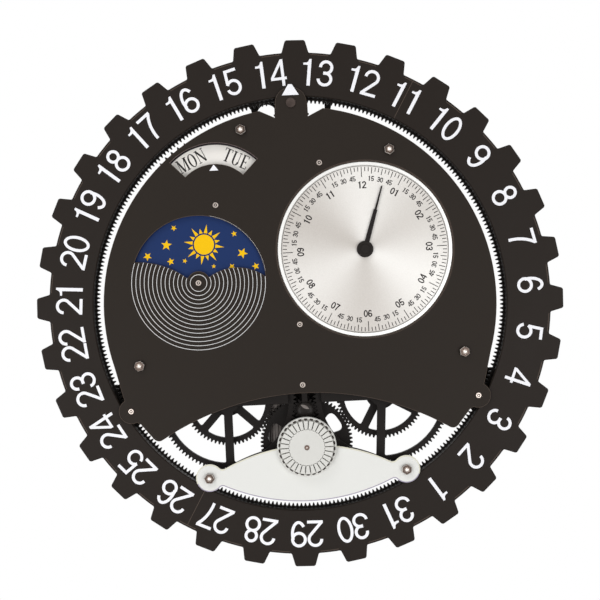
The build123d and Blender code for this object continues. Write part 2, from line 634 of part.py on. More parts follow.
def time_dial():
    """Second-zone dial, screwed to the back of the front plate, and its hand on an arbor."""
    face = disc(TIME_R + 3, TIME_X, TIME_Z) - pin_hole(PIVOT_R, TIME_X, TIME_Z)
    save("time_dial", slab(face, FACE_REAR - 1, FACE_REAR))
    save("hand_arbor", pin(PIVOT_R, TIME_MOVEMENT_FRONT + 0.3, HAND_REAR, TIME_X, TIME_Z))
    hand = RegularPolygon(HAND_HUB_R, 24)
    hand += plate((-1.9, 0), (1.9, 0), (1.4, 31), (-1.4, 31))
    hand += plate((-0.8, 30), (0.8, 30), (0.5, 49.5), (-0.5, 49.5))
    save("time_hand", slab(Pos(TIME_X, TIME_Z) * Rot(0, 0, -HAND_ANGLE) * hand, HAND_REAR, HAND_FRONT))


def movement(name, x, z, tall, front):
    """A closed case that stands on the rear plate."""
    save(name, slab(Pos(x, z) * RectangleRounded(MOVEMENT_WIDE, tall, 4), PLATE_FRONT, front))


def movements():
    movement("time_movement", TIME_X, TIME_Z, MOVEMENT_WIDE, TIME_MOVEMENT_FRONT)
    movement("sky_movement", (SKY_X + DAY_X) / 2, (SKY_Z + DAY_Z) / 2, 76.0, MOVEMENT_FRONT)


def main():
    os.makedirs("parts", exist_ok=True)
    date_ring()
    gear_train()
    rollers()
    back_of_clock()
    rear_plate()
    lower_bar()
    posts_and_nuts()
    front_plate()
    lower_plate()
    pointer_and_cap()
    small_screws()
    gear_bridge()
    bridge_cap()
    motor()
    sky_disc_set()
    time_dial()
    movements()


main()
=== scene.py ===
# %% [markdown]
# # An open-frame calendar clock
# A big toothed date ring hangs on three rollers. A small gear train at the bottom turns it, and a
# front plate holds a weekday window, a day-and-night window and a second dial.
# The CAD model gives every place and size. This script gives each part its finish, and makes the
# pieces that a plain solid lacks: broken edges, printed numbers, screws and brushed metal.

# %% Load the fixed frame
import json
import math
import bpy
import bmesh
from mathutils import Matrix, Vector

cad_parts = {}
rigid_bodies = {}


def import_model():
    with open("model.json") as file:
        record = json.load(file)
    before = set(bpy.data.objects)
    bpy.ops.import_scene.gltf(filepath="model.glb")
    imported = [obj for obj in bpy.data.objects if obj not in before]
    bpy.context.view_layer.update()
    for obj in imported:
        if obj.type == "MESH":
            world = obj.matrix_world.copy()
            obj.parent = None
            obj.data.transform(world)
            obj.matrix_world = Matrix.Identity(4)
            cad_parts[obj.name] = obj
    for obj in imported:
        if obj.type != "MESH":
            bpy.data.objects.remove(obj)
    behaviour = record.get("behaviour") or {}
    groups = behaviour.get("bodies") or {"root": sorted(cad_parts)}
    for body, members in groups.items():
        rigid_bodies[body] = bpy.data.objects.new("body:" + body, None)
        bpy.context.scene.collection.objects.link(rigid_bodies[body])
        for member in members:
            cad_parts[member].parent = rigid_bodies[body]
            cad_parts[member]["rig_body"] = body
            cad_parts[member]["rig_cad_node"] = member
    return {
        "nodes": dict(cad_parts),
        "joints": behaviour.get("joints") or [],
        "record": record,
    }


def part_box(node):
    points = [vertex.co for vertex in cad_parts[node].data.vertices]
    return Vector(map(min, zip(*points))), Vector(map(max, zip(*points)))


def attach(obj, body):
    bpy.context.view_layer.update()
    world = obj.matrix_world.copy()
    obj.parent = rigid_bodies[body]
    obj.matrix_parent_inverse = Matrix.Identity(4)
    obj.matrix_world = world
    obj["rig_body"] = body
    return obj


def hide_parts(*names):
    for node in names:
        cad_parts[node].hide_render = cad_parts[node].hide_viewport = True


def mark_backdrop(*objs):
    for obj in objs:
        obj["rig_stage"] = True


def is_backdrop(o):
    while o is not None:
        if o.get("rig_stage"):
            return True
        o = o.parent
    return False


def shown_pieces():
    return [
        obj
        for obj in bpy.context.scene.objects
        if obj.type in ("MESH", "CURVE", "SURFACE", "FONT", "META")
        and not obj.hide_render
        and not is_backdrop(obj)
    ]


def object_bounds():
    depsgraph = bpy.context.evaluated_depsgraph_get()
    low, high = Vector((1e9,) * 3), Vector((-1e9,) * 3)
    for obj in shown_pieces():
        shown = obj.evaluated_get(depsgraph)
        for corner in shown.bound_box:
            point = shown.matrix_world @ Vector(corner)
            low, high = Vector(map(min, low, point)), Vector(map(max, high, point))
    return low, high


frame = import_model()
cad_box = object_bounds()
MM = 0.001
hub = {joint["child"]: (joint["pos_m"][0] / MM, joint["pos_m"][2] / MM) for joint in frame["joints"]}
print("parts:", len(frame["nodes"]), "turning bodies:", len(hub))


# %% [markdown]
# Depths count from the wall towards the viewer, in millimetres. They could be typed in once more,
# but then they would go wrong as soon as the CAD model changes. So a part's rear and front are read
# from its own box, and everything made here follows the model.

# %% Read depths from the frame
def rear_of(node):
    return -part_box(node)[1].y / MM


def front_of(node):
    return -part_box(node)[0].y / MM


def at(radius, clock, x=0.0, z=0.0):
    """The point at a radius and a clock angle in degrees, clockwise from the top."""
    turn = math.radians(clock)
    return x + radius * math.sin(turn), z + radius * math.cos(turn)


print("face plate front at", round(front_of("front_plate"), 2), "mm")


# %% [markdown]
# ## Node trees written as expressions
# A shader or a geometry tree is a graph, but a formula is easier to read. This class wraps one
# output socket and overloads the arithmetic operators, so that `1 - mask` adds the Math node.

# %% Sockets that can be added and multiplied
class Value:
    def __init__(self, nodes, socket):
        self.nodes = nodes
        self.socket = socket

    def math(self, operation, a, b=0.0):
        return self.nodes.add("ShaderNodeMath", {"operation": operation}, {0: a, 1: b})

    def __add__(self, other):
        return self.math("ADD", self, other)

    def __sub__(self, other):
        return self.math("SUBTRACT", self, other)

    def __rsub__(self, other):
        return self.math("SUBTRACT", other, self)

    def __mul__(self, other):
        return self.math("MULTIPLY", self, other)

    def __truediv__(self, other):
        return self.math("DIVIDE", self, other)

    def __mod__(self, other):
        return self.math("FLOORED_MODULO", self, other)

    def below(self, other):
        return self.math("LESS_THAN", self, other)

    def larger(self, other):
        return self.math("MAXIMUM", self, other)

    def floor(self):
        return self.math("FLOOR", self)

    def sin(self):
        return self.math("SINE", self)

    def cos(self):
        return self.math("COSINE", self)

    __radd__ = __add__
    __rmul__ = __mul__


class Nodes:
    """A node tree with one method that adds any node."""

    def __init__(self, tree):
        self.tree = tree

    def add(self, kind, settings=None, inputs=None, output=0):
        """Adds a node: first its settings, then a value or a link for each socket that is named."""
        node = self.tree.nodes.new(kind)
        for name, value in (settings or {}).items():
            setattr(node, name, value)
        for key, value in (inputs or {}).items():
            self.feed(node.inputs[key], value)
        return Value(self, node.outputs[output])

    def feed(self, socket, value):
        for one in value if isinstance(value, list) else [value]:
            if isinstance(one, Value):
                self.tree.links.new(one.socket, socket)
            else:
                socket.default_value = one
    def combine(self, **axes):
        """A vector from its X, Y and Z. An axis that is left out is zero."""
        return self.add("ShaderNodeCombineXYZ", {}, axes)


# %% [markdown]
# ## Finishes
# A finish is a Principled material. Its plain values go straight to the shader's sockets, and a
# pattern is a noise or a formula. An image could bring a pattern too, but it would show its repeats.
# The patterns read Object coordinates, in metres, so the grain has the same size on every part.

# %% A helper for materials
def linear(channel):
    """One channel of a colour as seen on a screen, 0 to 255, made linear."""
    return ((channel / 255 + 0.055) / 1.055) ** 2.4 if channel > 10 else channel / 255 / 12.92


def srgb(red, green, blue):
    return linear(red), linear(green), linear(blue)


class Finish(Nodes):
    """A Principled material under construction."""

    def __init__(self, name, **plain):
        self.material = bpy.data.materials.new(name)
        self.material.use_nodes = True
        super().__init__(self.material.node_tree)
        self.shader = self.tree.nodes["Principled BSDF"]
        self.place = self.add("ShaderNodeTexCoord", output="Object")
        for key, value in plain.items():
            self.set(key.replace("_", " ").title().replace("Ior", "IOR"), value)

    def set(self, socket, value):
        if isinstance(value, tuple) and len(value) == 3:
            value = (*value, 1.0)
        self.feed(self.shader.inputs[socket], value)

    def noise(self, size, detail=2.0, where=None):
        """Noise whose features are about size millimetres wide, between 0 and 1."""
        inputs = {"Vector": where or self.place, "Scale": 1 / (size * MM), "Detail": detail}
        return self.add("ShaderNodeTexNoise", {}, inputs)

    def mix(self, mask, dark, light):
        inputs = {"Factor": mask, 6: (*dark, 1.0), 7: (*light, 1.0)}
        return self.add("ShaderNodeMix", {"data_type": "RGBA"}, inputs, output=2)

    def bump(self, height, depth):
        """Raises the surface by a pattern, at most depth millimetres."""
        inputs = {"Height": height, "Distance": depth * MM, "Strength": 1.0}
        self.set("Normal", self.add("ShaderNodeBump", {}, inputs))


# %% [markdown]
# Most of this clock is one satin black lacquer, so its grain matters. A lacquered sheet is not one
# flat colour: pigment and dust give it a very fine speckle, and broad soft patches show where the
# coat is thicker. Both are noise, one at half a millimetre and one at 30 mm. Orange peel could be
# modelled, but it is so shallow that a faint bump shows it as well.

# %% Lacquers and plastics
PATCH = 30.0


def lacquer(name, colour, speckle, roughness, grain=0.5, peel=0.006):
    finish = Finish(name, specular_ior_level=0.12)
    fine = finish.noise(grain)
    broad = finish.noise(PATCH, 3.0)
    dark = tuple(c * (1 - speckle) for c in colour)
    light = tuple(min(1.0, c * (1 + speckle)) for c in colour)
    finish.set("Base Color", finish.mix(fine * 0.7 + broad * 0.3, dark, light))
    finish.set("Roughness", broad * 0.12 + (roughness - 0.06))
    finish.bump(finish.noise(grain * 2.5), peel)
    return finish.material


black_plate = lacquer("satin_black", srgb(39, 33, 28), 0.16, 0.52)
black_ring = lacquer("ring_black", srgb(35, 29, 25), 0.16, 0.5)
black_plastic = lacquer("gear_black", srgb(26, 22, 20), 0.12, 0.48, grain=0.8)
black_gloss = lacquer("cap_black", srgb(34, 30, 28), 0.1, 0.3)
black_shadow = lacquer("matt_black", srgb(30, 26, 24), 0.15, 0.6)
white_plate = lacquer("white_lacquer", srgb(232, 232, 228), 0.035, 0.45)
# Painted highlight for the white plate's upper and side edges, and painted violet-grey shade for those that face
# down:
cream_edge = lacquer("cream_edge", srgb(250, 247, 228), 0.02, 0.45)
shaded_edge = lacquer("shaded_edge", srgb(184, 176, 194), 0.02, 0.45)
# Painted highlight for the cut edge of the weekday window:
worn_edge = lacquer("worn_edge", srgb(158, 140, 146), 0.05, 0.45)
white_print = lacquer("white_print", srgb(249, 249, 254), 0.02, 0.5)
fine_print = lacquer("fine_print", srgb(228, 227, 227), 0.04, 0.5)
# A pale lacquer that paints a highlight on broken edges and on the hairlines of the ring and the dial's opening.
cut_edge = lacquer("cut_edge", srgb(88, 76, 68), 0.1, 0.4)
day_white = lacquer("weekday_white", srgb(250, 246, 240), 0.03, 0.5)
ink = lacquer("black_ink", srgb(34, 30, 30), 0.05, 0.6)
sky_blue = lacquer("sky_blue", srgb(27, 49, 96), 0.06, 0.45)
gold_print = lacquer("gold_print", srgb(250, 198, 8), 0.05, 0.45)
motor_grey = lacquer("motor_grey", srgb(124, 117, 113), 0.1, 0.4)
knob_silver = lacquer("knob_silver", srgb(220, 219, 214), 0.05, 0.35)
knob_shade = lacquer("knob_shade", srgb(60, 53, 50), 0.1, 0.5)
print("lacquers:", len(bpy.data.materials))


# %% [markdown]
# Nuts, screws and posts are turned steel. A lathe leaves fine marks that scatter the light. Marks
# this small can't be told apart, so a fine noise stands for them in the colour, in the roughness
# and in a faint bump.

# %% Metals
LATHE_GRAIN = 0.6
LATHE_SPREAD = 0.15


def metal(name, colour, roughness):
    finish = Finish(name, metallic=1.0)
    marks = finish.noise(LATHE_GRAIN, 3.0)
    finish.set("Base Color", finish.mix(marks, tuple(c * 0.86 for c in colour), colour))
    finish.set("Roughness", marks * LATHE_SPREAD + (roughness - LATHE_SPREAD / 2))
    finish.bump(marks, 0.004)
    return finish.material


steel = metal("bright_steel", srgb(214, 201, 192), 0.28)
# A darkened steel: its colour paints the dark reflections on the nuts.
dark_steel = metal("dark_steel", srgb(88, 76, 70), 0.28)
stud_steel = metal("stud_steel", srgb(236, 226, 218), 0.4)
bronze = metal("dull_bronze", srgb(112, 96, 88), 0.45)
cap_brown = metal("cap_brown", srgb(72, 63, 59), 0.5)
pale_rim = metal("pale_rim", srgb(232, 231, 228), 0.4)
print("materials so far:", len(bpy.data.materials))


# %% [markdown]
# The second dial is brushed from its centre outwards, so its streaks are rays and its sheen drifts as it goes
# round. Anisotropic shading could do that, but only the colour and the roughness of a finish are baked. So the
# angle round the dial's centre feeds a fine noise for the streaks, and two slow waves paint the sheen of the
# brushing into the colour, lighter and darker round the sheet.

# %% The brushed dial
def dial_silver():
    finish = Finish("brushed_dial", metallic=0.2, specular_ior_level=0.3)
    x, z = hub["hand_body"]
    centre = {"Vector": finish.place, "Location": (-x * MM, 0, -z * MM)}
    shift = finish.add("ShaderNodeMapping", {}, centre)
    across = finish.add("ShaderNodeSeparateXYZ", {}, {"Vector": shift}, "X")
    up = finish.add("ShaderNodeSeparateXYZ", {}, {"Vector": shift}, "Z")
    turn = across.math("ARCTAN2", across, up)
    streaks = finish.noise(0.35, 3.0, finish.combine(X=turn * 0.16))
    # Painted sheen of the brushing: three bright lobes and one side lighter than the other.
    painted_sheen = (turn * 3).cos() * 0.2 + turn.sin() * 0.09
    tone = streaks * 0.28 + finish.noise(0.7) * 0.2 + painted_sheen + 0.29
    finish.set("Base Color", finish.mix(tone, srgb(176, 168, 160), srgb(252, 250, 246)))
    finish.set("Roughness", streaks * 0.16 + 0.38)
    finish.bump(streaks, 0.003)
    return finish.material


silver_dial = dial_silver()
print("materials:", len(bpy.data.materials))


# %% [markdown]
# ## Plates with broken edges
# A laser-cut plate has the outline of its CAD part, but its edges are never razor sharp. A Bevel
# modifier could break them, but the CAD mesh is loose triangles, and it would bevel their seams too.
# So each plate's outline is read off the front face of its own solid, as clean closed loops.

# %% Read a part's outline
def outline_loops(node):
    """The closed loops round the front face of a flat part, as (x, z) points in millimetres."""
    shape = bmesh.new()
    shape.from_mesh(frame["nodes"][node].data)
    bmesh.ops.remove_doubles(shape, verts=shape.verts, dist=1e-6)
    level = min(v.co.y for v in shape.verts)
    flat = {f for f in shape.faces if all(abs(v.co.y - level) < 1e-5 for v in f.verts)}
    step = {}
    for edge in shape.edges:
        owners = [f for f in edge.link_faces if f in flat]
        if len(owners) == 1:
            corners = [loop.vert.index for loop in owners[0].loops]
            a, b = edge.verts[0].index, edge.verts[1].index
            ahead = corners[(corners.index(a) + 1) % len(corners)] == b
            start, end = (a, b) if ahead else (b, a)
            step.setdefault(start, []).append(end)
    shape.verts.ensure_lookup_table()
    places = {i: (shape.verts[i].co.x / MM, shape.verts[i].co.z / MM) for i in step}
    loops = []
    while step:
        start = next(iter(step))
        path = [start]
        while True:
            following = step[path[-1]].pop()
            if not step[path[-1]]:
                del step[path[-1]]
            if following == start:
                break
            path.append(following)
        loops.append([places[i] for i in path])
    shape.free()
    return loops


def round_corners(points, radius, sharp=25.0, steps=3):
    """Replaces each corner that turns by more than sharp degrees with a short arc."""
    made = []
    for before, here, after in zip(points[-1:] + points[:-1], points, points[1:] + points[:1]):
        into = Vector(here) - Vector(before)
        out = Vector(after) - Vector(here)
        turn = math.degrees(abs(into.angle(out, 0)))
        if turn < sharp:
            made.append(here)
            continue
        cut = min(radius * math.tan(math.radians(turn / 2)), into.length * 0.45, out.length * 0.45)
        first = Vector(here) - into.normalized() * cut
        last = Vector(here) + out.normalized() * cut
        for step in range(steps + 1):
            t = step / steps
            made.append(tuple(first * (1 - t) ** 2 + Vector(here) * 2 * t * (1 - t) + last * t * t))
    return made
plate_loops = outline_loops("front_plate")
print("loops in the front plate:", len(plate_loops))


# %% [markdown]
# A flat curve fills such loops, holes included. Its extrusion makes the thickness and its bevel
# breaks the edges evenly, so that the plate comes out as one closed sheet.

# %% Turn loops into a sheet with broken edges
def to_wall(depth):
    """Takes a shape drawn flat, in millimetres, to its place in front of the wall at a depth."""
    turn = Matrix(((1, 0, 0, 0), (0, 0, -1, -depth), (0, 1, 0, 0), (0, 0, 0, 1)))
    return Matrix.Scale(MM, 4) @ turn

def meshed(thing):
    """The plain mesh of an object as it looks with all its nodes. The object is then removed."""
    bpy.context.scene.collection.objects.link(thing)
    bpy.context.view_layer.update()
    seen = thing.evaluated_get(bpy.context.evaluated_depsgraph_get())
    mesh = bpy.data.meshes.new_from_object(seen)
    bpy.data.objects.remove(thing)
    return mesh
def filled_curve(name, loops, thick, edge=0.0):
    """The mesh of filled loops, centred on the drawing plane, with its edges broken by edge."""
    curve = bpy.data.curves.new(name, "CURVE")
    curve.dimensions = "2D"
    curve.fill_mode = "BOTH"
    for points in loops:
        spline = curve.splines.new("POLY")
        spline.points.add(len(points) - 1)
        for point, (x, z) in zip(spline.points, points):
            point.co = (x, z, 0, 1)
        spline.use_cyclic_u = True
    curve.extrude = thick / 2 - edge
    curve.bevel_depth = edge
    curve.bevel_resolution = 0
    curve.offset = -edge
    return meshed(bpy.data.objects.new(name, curve))


def closed(mesh, doubles=1e-6, slivers=False):
    """Merges doubled points and points every face outwards. Faces of no width may be dropped."""
    shape = bmesh.new()
    shape.from_mesh(mesh)
    bmesh.ops.remove_doubles(shape, verts=shape.verts, dist=doubles)
    if slivers:
        bmesh.ops.dissolve_degenerate(shape, edges=shape.edges, dist=1e-7)
    bmesh.ops.recalc_face_normals(shape, faces=shape.faces)
    shape.to_mesh(mesh)
    shape.free()
    return mesh


def sheet(name, loops, rear, front, edge=0.25):
    """A flat sheet between two depths."""
    mesh = filled_curve(name, loops, front - rear, edge)
    mesh.transform(to_wall((rear + front) / 2))
    return closed(mesh)


# %% [markdown]
# A finished mesh becomes a piece of the clock. It rides on a body, so that it moves with the joint,
# and it may replace the plain solid that it stands for.

# %% Put a piece on the clock
slot_of = {part["node"]: part["material_slot"] for part in frame["record"]["subparts"]}


def body_of(node):
    return frame["nodes"][node]["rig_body"]


def piece(name, mesh, body, material, slot, replaces=()):
    """Links a finished mesh as one piece of the clock."""
    mesh.materials.clear()
    mesh.materials.append(material)
    thing = bpy.data.objects.new(name, mesh)
    bpy.context.scene.collection.objects.link(thing)
    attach(thing, body)
    if replaces:
        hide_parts(*replaces)
    return thing


def cut_plate(node, material, edge=0.25, corner=0.0):
    """Stands a sheet with broken edges in the place of a flat CAD part."""
    loops = outline_loops(node)
    if corner:
        loops = [round_corners(points, corner) for points in loops]
    mesh = sheet(node + "_cut", loops, rear_of(node), front_of(node), edge)
    return piece(node + "_cut", mesh, body_of(node), material, slot_of[node], [node])


# %% [markdown]
# The broken edge of a cut plate catches the light, so that highlight is painted on it as a finish of its own,
# and on some plates the shade of the edges that face down is painted too. It could be a strip beside the plate,
# but then two pieces would meet in a seam. Here the faces that slope are picked by their normals. Where two
# halves of a ring meet, no edge is broken.

# %% Paint light and shade on the edges
def bare_edge(thing, material, below=1.0):
    """Gives the broken edges that face the viewer, or only those that face down, a finish of their own: the
    painted highlight or painted shade that they would catch.
    """
    thing.data.materials.append(material)
    for polygon in thing.data.polygons:
        if 0.3 < -polygon.normal.y < 0.95 and polygon.normal.z < below:
            polygon.material_index = len(thing.data.materials) - 1


def square_seams(thing, points):
    """Brings the edges that were broken along the seams of a ring half back to its other half."""
    a, b = max(zip(points, points[1:] + points[:1]), key=lambda pair: math.dist(*pair))
    across = Vector((b[1] - a[1], 0, a[0] - b[0])).normalized()
    for vertex in thing.data.vertices:
        away = vertex.co.dot(across)
        if abs(away) < 1.5 * MM:
            vertex.co -= across * away
print("slots in use:", len(set(slot_of.values())))


# %% [markdown]
# Most plates are lacquered black, and a highlight is painted on the broken edges of the front plate. The lower
# one is white and thick-edged: a cream highlight is painted on its upper and side edges, and a violet-grey shade
# on those that face down. The ring halves have rounded teeth, so their corners are filleted before the sheet is
# made.

# %% Cut the plates
bare_edge(cut_plate("front_plate", black_plate, edge=0.35), cut_edge)
lower_plate = cut_plate("lower_plate", white_plate, edge=0.9)
bare_edge(lower_plate, cream_edge)
bare_edge(lower_plate, shaded_edge, below=-0.3)
cut_plate("rear_plate", black_shadow, edge=0.2)
cut_plate("lower_bar", black_shadow, edge=0.2)
cut_plate("gear_bridge", black_plastic, edge=0.2)
cut_plate("time_dial", silver_dial, edge=0.1)
cut_plate("sky_disc", sky_blue, edge=0.1)
cut_plate("day_disc", day_white, edge=0.1)
cut_plate("pointer", white_print, edge=0.08)
cut_plate("time_hand", ink, edge=0.12)
for node in ("number_ring_left", "number_ring_right"):
    half_ring = cut_plate(node, black_ring, edge=0.7, corner=1.3)
    square_seams(half_ring, max(outline_loops(node), key=len))


# %% [markdown]
# ## The gear train
# A spur gear follows one rule: a tooth profile of four points, repeated round a circle. An Array
# modifier could repeat one tooth, but it leaves a seam at each. Geometry Nodes hold the rule once,
# with the tooth count and the radii as named inputs, and every wheel, pinion and the ring gear are
# the same tree with other numbers.

# %% A Geometry Nodes tree with named inputs
class Maker(Nodes):
    """A geometry tree under construction: named inputs, one geometry output."""

    def __init__(self, name):
        super().__init__(bpy.data.node_groups.new(name, "GeometryNodeTree"))
        self.inputs = self.tree.nodes.new("NodeGroupInput")

    def input(self, name, kind="Float"):
        self.tree.interface.new_socket(name, in_out="INPUT", socket_type="NodeSocket" + kind)
        return Value(self, self.inputs.outputs[name])

    def finish(self, geometry):
        """Ends the tree: real geometry with its material, brought from the drawing to the wall."""
        material = self.input("Material", "Material")
        real = self.add("GeometryNodeRealizeInstances", {}, {0: geometry})
        upright = {"Geometry": real, "Rotation": (math.pi / 2, 0, 0), "Scale": (MM, MM, MM)}
        turned = self.add("GeometryNodeTransform", {}, upright)
        painted = self.add("GeometryNodeSetMaterial", {}, {"Geometry": turned, "Material": material})
        self.tree.interface.new_socket("Geometry", in_out="OUTPUT", socket_type="NodeSocketGeometry")
        self.feed(self.tree.nodes.new("NodeGroupOutput").inputs[0], painted)
        return self.tree

    def index(self):
        return self.add("GeometryNodeInputIndex")

    def pick(self, index, *choices):
        """One of several values, by index."""
        node = self.tree.nodes.new("GeometryNodeIndexSwitch")
        node.data_type = "FLOAT"
        while len(node.index_switch_items) < len(choices):
            node.index_switch_items.new()
        self.feed(node.inputs["Index"], index)
        for number, choice in enumerate(choices):
            self.feed(node.inputs[number + 1], choice)
        return Value(self, node.outputs[0])
    def place(self, geometry, radius, turn, depth=0.0):
        """Puts each point at a radius and a clock angle, which may be functions of the index."""
        where = self.combine(X=radius * turn.sin(), Y=radius * turn.cos(), Z=depth)
        return self.add("GeometryNodeSetPosition", {}, {"Geometry": geometry, "Position": where})

    def copies(self, points, thing, turn, **more):
        """A copy of a thing on each point, turned about the depth axis."""
        inputs = {"Points": points, "Instance": thing, "Rotation": self.combine(Z=turn), **more}
        return self.add("GeometryNodeInstanceOnPoints", {}, inputs)

    def loop(self, count, radius, turn):
        """A closed curve whose points have the given radius and clock angle."""
        circle = self.add("GeometryNodeMeshCircle", {"fill_type": "NONE"}, {"Vertices": count})
        return self.add("GeometryNodeMeshToCurve", {}, {"Mesh": self.place(circle, radius, turn)})

    def solid(self, outlines, rear, front):
        """Fills flat outlines, holes included, and gives the sheet its thickness."""
        joined = self.add("GeometryNodeJoinGeometry", {}, {0: outlines})
        face = self.add("GeometryNodeFillCurve", {"mode": "TRIANGLES"}, {"Curve": joined})
        thick = self.combine(Z=front - rear)
        rise = {"Mesh": face, "Offset": thick, "Offset Scale": 1.0, "Individual": False}
        walls = self.add("GeometryNodeExtrudeMesh", {"mode": "FACES"}, rise)
        back = self.add("GeometryNodeFlipFaces", {}, {"Mesh": face})
        both = self.add("GeometryNodeJoinGeometry", {}, {0: [walls, back]})
        merged = self.add("GeometryNodeMergeByDistance", {}, {"Geometry": both, "Distance": 0.0005})
        lift = {"Geometry": merged, "Translation": self.combine(Z=rear)}
        return self.add("GeometryNodeTransform", {}, lift)


def grow(tree, name, places=(), **sizes):
    """The mesh that a tree makes. Each input is set by its socket's identifier."""
    thing = bpy.data.objects.new(name, bpy.data.meshes.new(name))
    thing.data.from_pydata([(x, z, 0) for x, z in places], [], [])
    modifier = thing.modifiers.new("make", "NODES")
    modifier.node_group = tree
    for socket in tree.interface.items_tree:
        if socket.in_out == "INPUT" and socket.socket_type != "NodeSocketGeometry":
            modifier[socket.identifier] = sizes[socket.name.replace(" ", "_").lower()]
    return meshed(thing)


# %% [markdown]
# A wheel is its toothed rim, its bore and a few windows. The windows could be cut out by booleans,
# but those leave ragged faces. Here a window is drawn once with its corners filleted, stands on as
# many points as the wheel has windows, and is made real before the fill, so it counts as a hole.

# %% The gear tree
BORE_SIDES = 72


def gear_tree():
    make = Maker("spoked_gear")
    teeth = make.input("Teeth", "Int")
    root, tip = make.input("Root Radius"), make.input("Tip Radius")
    root_half, tip_half = make.input("Root Half"), make.input("Tip Half")
    first, circle = make.input("First"), make.input("Circle")
    windows, steps = make.input("Windows", "Int"), make.input("Window Steps", "Int")
    inner, outer = make.input("Window Inner"), make.input("Window Outer")
    inner_half, outer_half = make.input("Inner Half"), make.input("Outer Half")
    window_first, window_pitch = make.input("Window First"), make.input("Window Pitch")
    window_corner = make.input("Window Corner")
    rear, front = make.input("Rear"), make.input("Front")
    index = make.index()
    corner, tooth = index % 4, (index / 4).floor()
    root_lean, tip_lean = root_half / root, tip_half / tip
    lean = make.pick(corner, 0 - root_lean, 0 - tip_lean, tip_lean, root_lean)
    radius = make.pick(corner, root, tip, tip, root)
    rim = make.loop(teeth * 4, radius, first + lean + tooth * math.tau / teeth)
    hole = make.loop(BORE_SIDES, circle, index * (math.tau / BORE_SIDES))
    far = index.below(steps)
    along = (index % steps) / (steps - 1) * 2 - 1
    reach = far * outer + (1 - far) * inner
    lean_out = far * outer_half - (1 - far) * inner_half
    window = make.loop(steps * 2, reach, along * lean_out)
    fillet = {"Curve": window, "Radius": window_corner, "Count": 3, "Limit Radius": True}
    filleted = make.add("GeometryNodeFilletCurve", {"mode": "POLY"}, fillet)
    spots = make.add("GeometryNodePoints", {}, {"Count": windows})
    copies = make.copies(spots, filleted, 0 - window_first - make.index() * window_pitch)
    real = make.add("GeometryNodeRealizeInstances", {}, {0: copies})
    return make.finish(make.solid([rim, hole, real], rear, front))


spoked_gear = gear_tree()
print("gear inputs:", len(spoked_gear.interface.items_tree) - 1)

# %% [markdown]
# The teeth must mesh exactly as the CAD teeth do. The angle of a gear's first tooth is measured on
# its own solid: every tip's angle times the tooth count points the same way, so their mean is safe.

# %% Measure a gear's first tooth
def first_tooth(node, teeth, x, z, tip):
    """Clock angle of one tooth, in radians, from the corners that lie at the tip radius."""
    sine = cosine = 0.0
    for vertex in frame["nodes"][node].data.vertices:
        dx, dz = vertex.co.x / MM - x, vertex.co.z / MM - z
        if abs(math.hypot(dx, dz) - tip) < 0.05:
            turn = math.atan2(dx, dz) * teeth
            sine += math.sin(turn)
            cosine += math.cos(turn)
    return math.atan2(sine, cosine) / teeth
OUTER_TEETH = 32
TIP_R, ROOT_R = 200.0, 190.4
outer_tooth = math.degrees(first_tooth("number_ring_left", OUTER_TEETH, 0, 0, TIP_R))
print("first outer tooth of the date ring at", round(outer_tooth, 2), "degrees")


# %% [markdown]
# The gears are module 1, so a tooth follows every 3.14 mm along the pitch circle. A real flank is an
# involute, but at this size a straight one that leans in to its tip looks the same.

# %% Make a gear
MODULE = 1.0
ADDENDUM = 0.9
DEDENDUM = 1.25
HALF_TOOTH = 0.68
HALF_TIP = 0.38
SLOPE = (HALF_TOOTH - HALF_TIP) / ADDENDUM
LAYER = 3.0
SLEEVED = ("left_pinion", "right_pinion", "coupling_pinion")
LAYER_FRONT = {node: rear_of(node) + LAYER for node in ("gear_ring_left", *SLEEVED)}
NO_WINDOWS = dict(windows=0, window_steps=4, window_inner=1.0, window_outer=2.0, inner_half=0.1,
                  outer_half=0.1, window_first=0.0, window_pitch=1.0, window_corner=1.0)


def gear(node, teeth, bore, inside=False, windows=NO_WINDOWS, fuller=0.0):
    """Grows a gear in the place of its CAD part. An inside gear's teeth point at its centre."""
    x, z = hub[body_of(node)]
    way = -1 if inside else 1
    pitch_r = teeth * MODULE / 2
    tip = pitch_r + way * ADDENDUM
    root = pitch_r - way * DEDENDUM
    mesh = grow(spoked_gear, node, teeth=teeth, root_radius=root, tip_radius=tip,
                root_half=HALF_TOOTH + fuller + SLOPE * DEDENDUM, tip_half=HALF_TIP + fuller,
                first=first_tooth(node, teeth, x, z, tip), circle=bore, rear=rear_of(node),
                front=LAYER_FRONT.get(node, front_of(node)), material=black_plastic, **windows)
    mesh.transform(Matrix.Translation((x * MM, 0, z * MM)))
    return piece(node + "_teeth", mesh, body_of(node), black_plastic, slot_of[node], [node])


print("sleeved pinions:", len(SLEEVED))


# %% [markdown]
# The four big wheels have straight spokes, and the centre wheel has three kidney-shaped windows. A
# window is given by its two radii and by the half angle that it spans at each of them, so a spoke
# of even width only needs a larger angle at the rim than at the hub.

# %% Grow the wheels
SPOKES = 4
ARBOR_BORE = 3.2


def spoke_windows(inner, outer, half, spoke):
    """The windows between straight spokes, from a spoke's half width and one spoke's angle."""
    share = math.pi / SPOKES
    return dict(windows=SPOKES, window_steps=16, window_inner=inner, window_outer=outer,
                inner_half=share - math.asin(half / inner), outer_half=share - math.asin(half / outer),
                window_first=math.radians(spoke + 180 / SPOKES), window_pitch=math.radians(360 / SPOKES),
                window_corner=1.2)


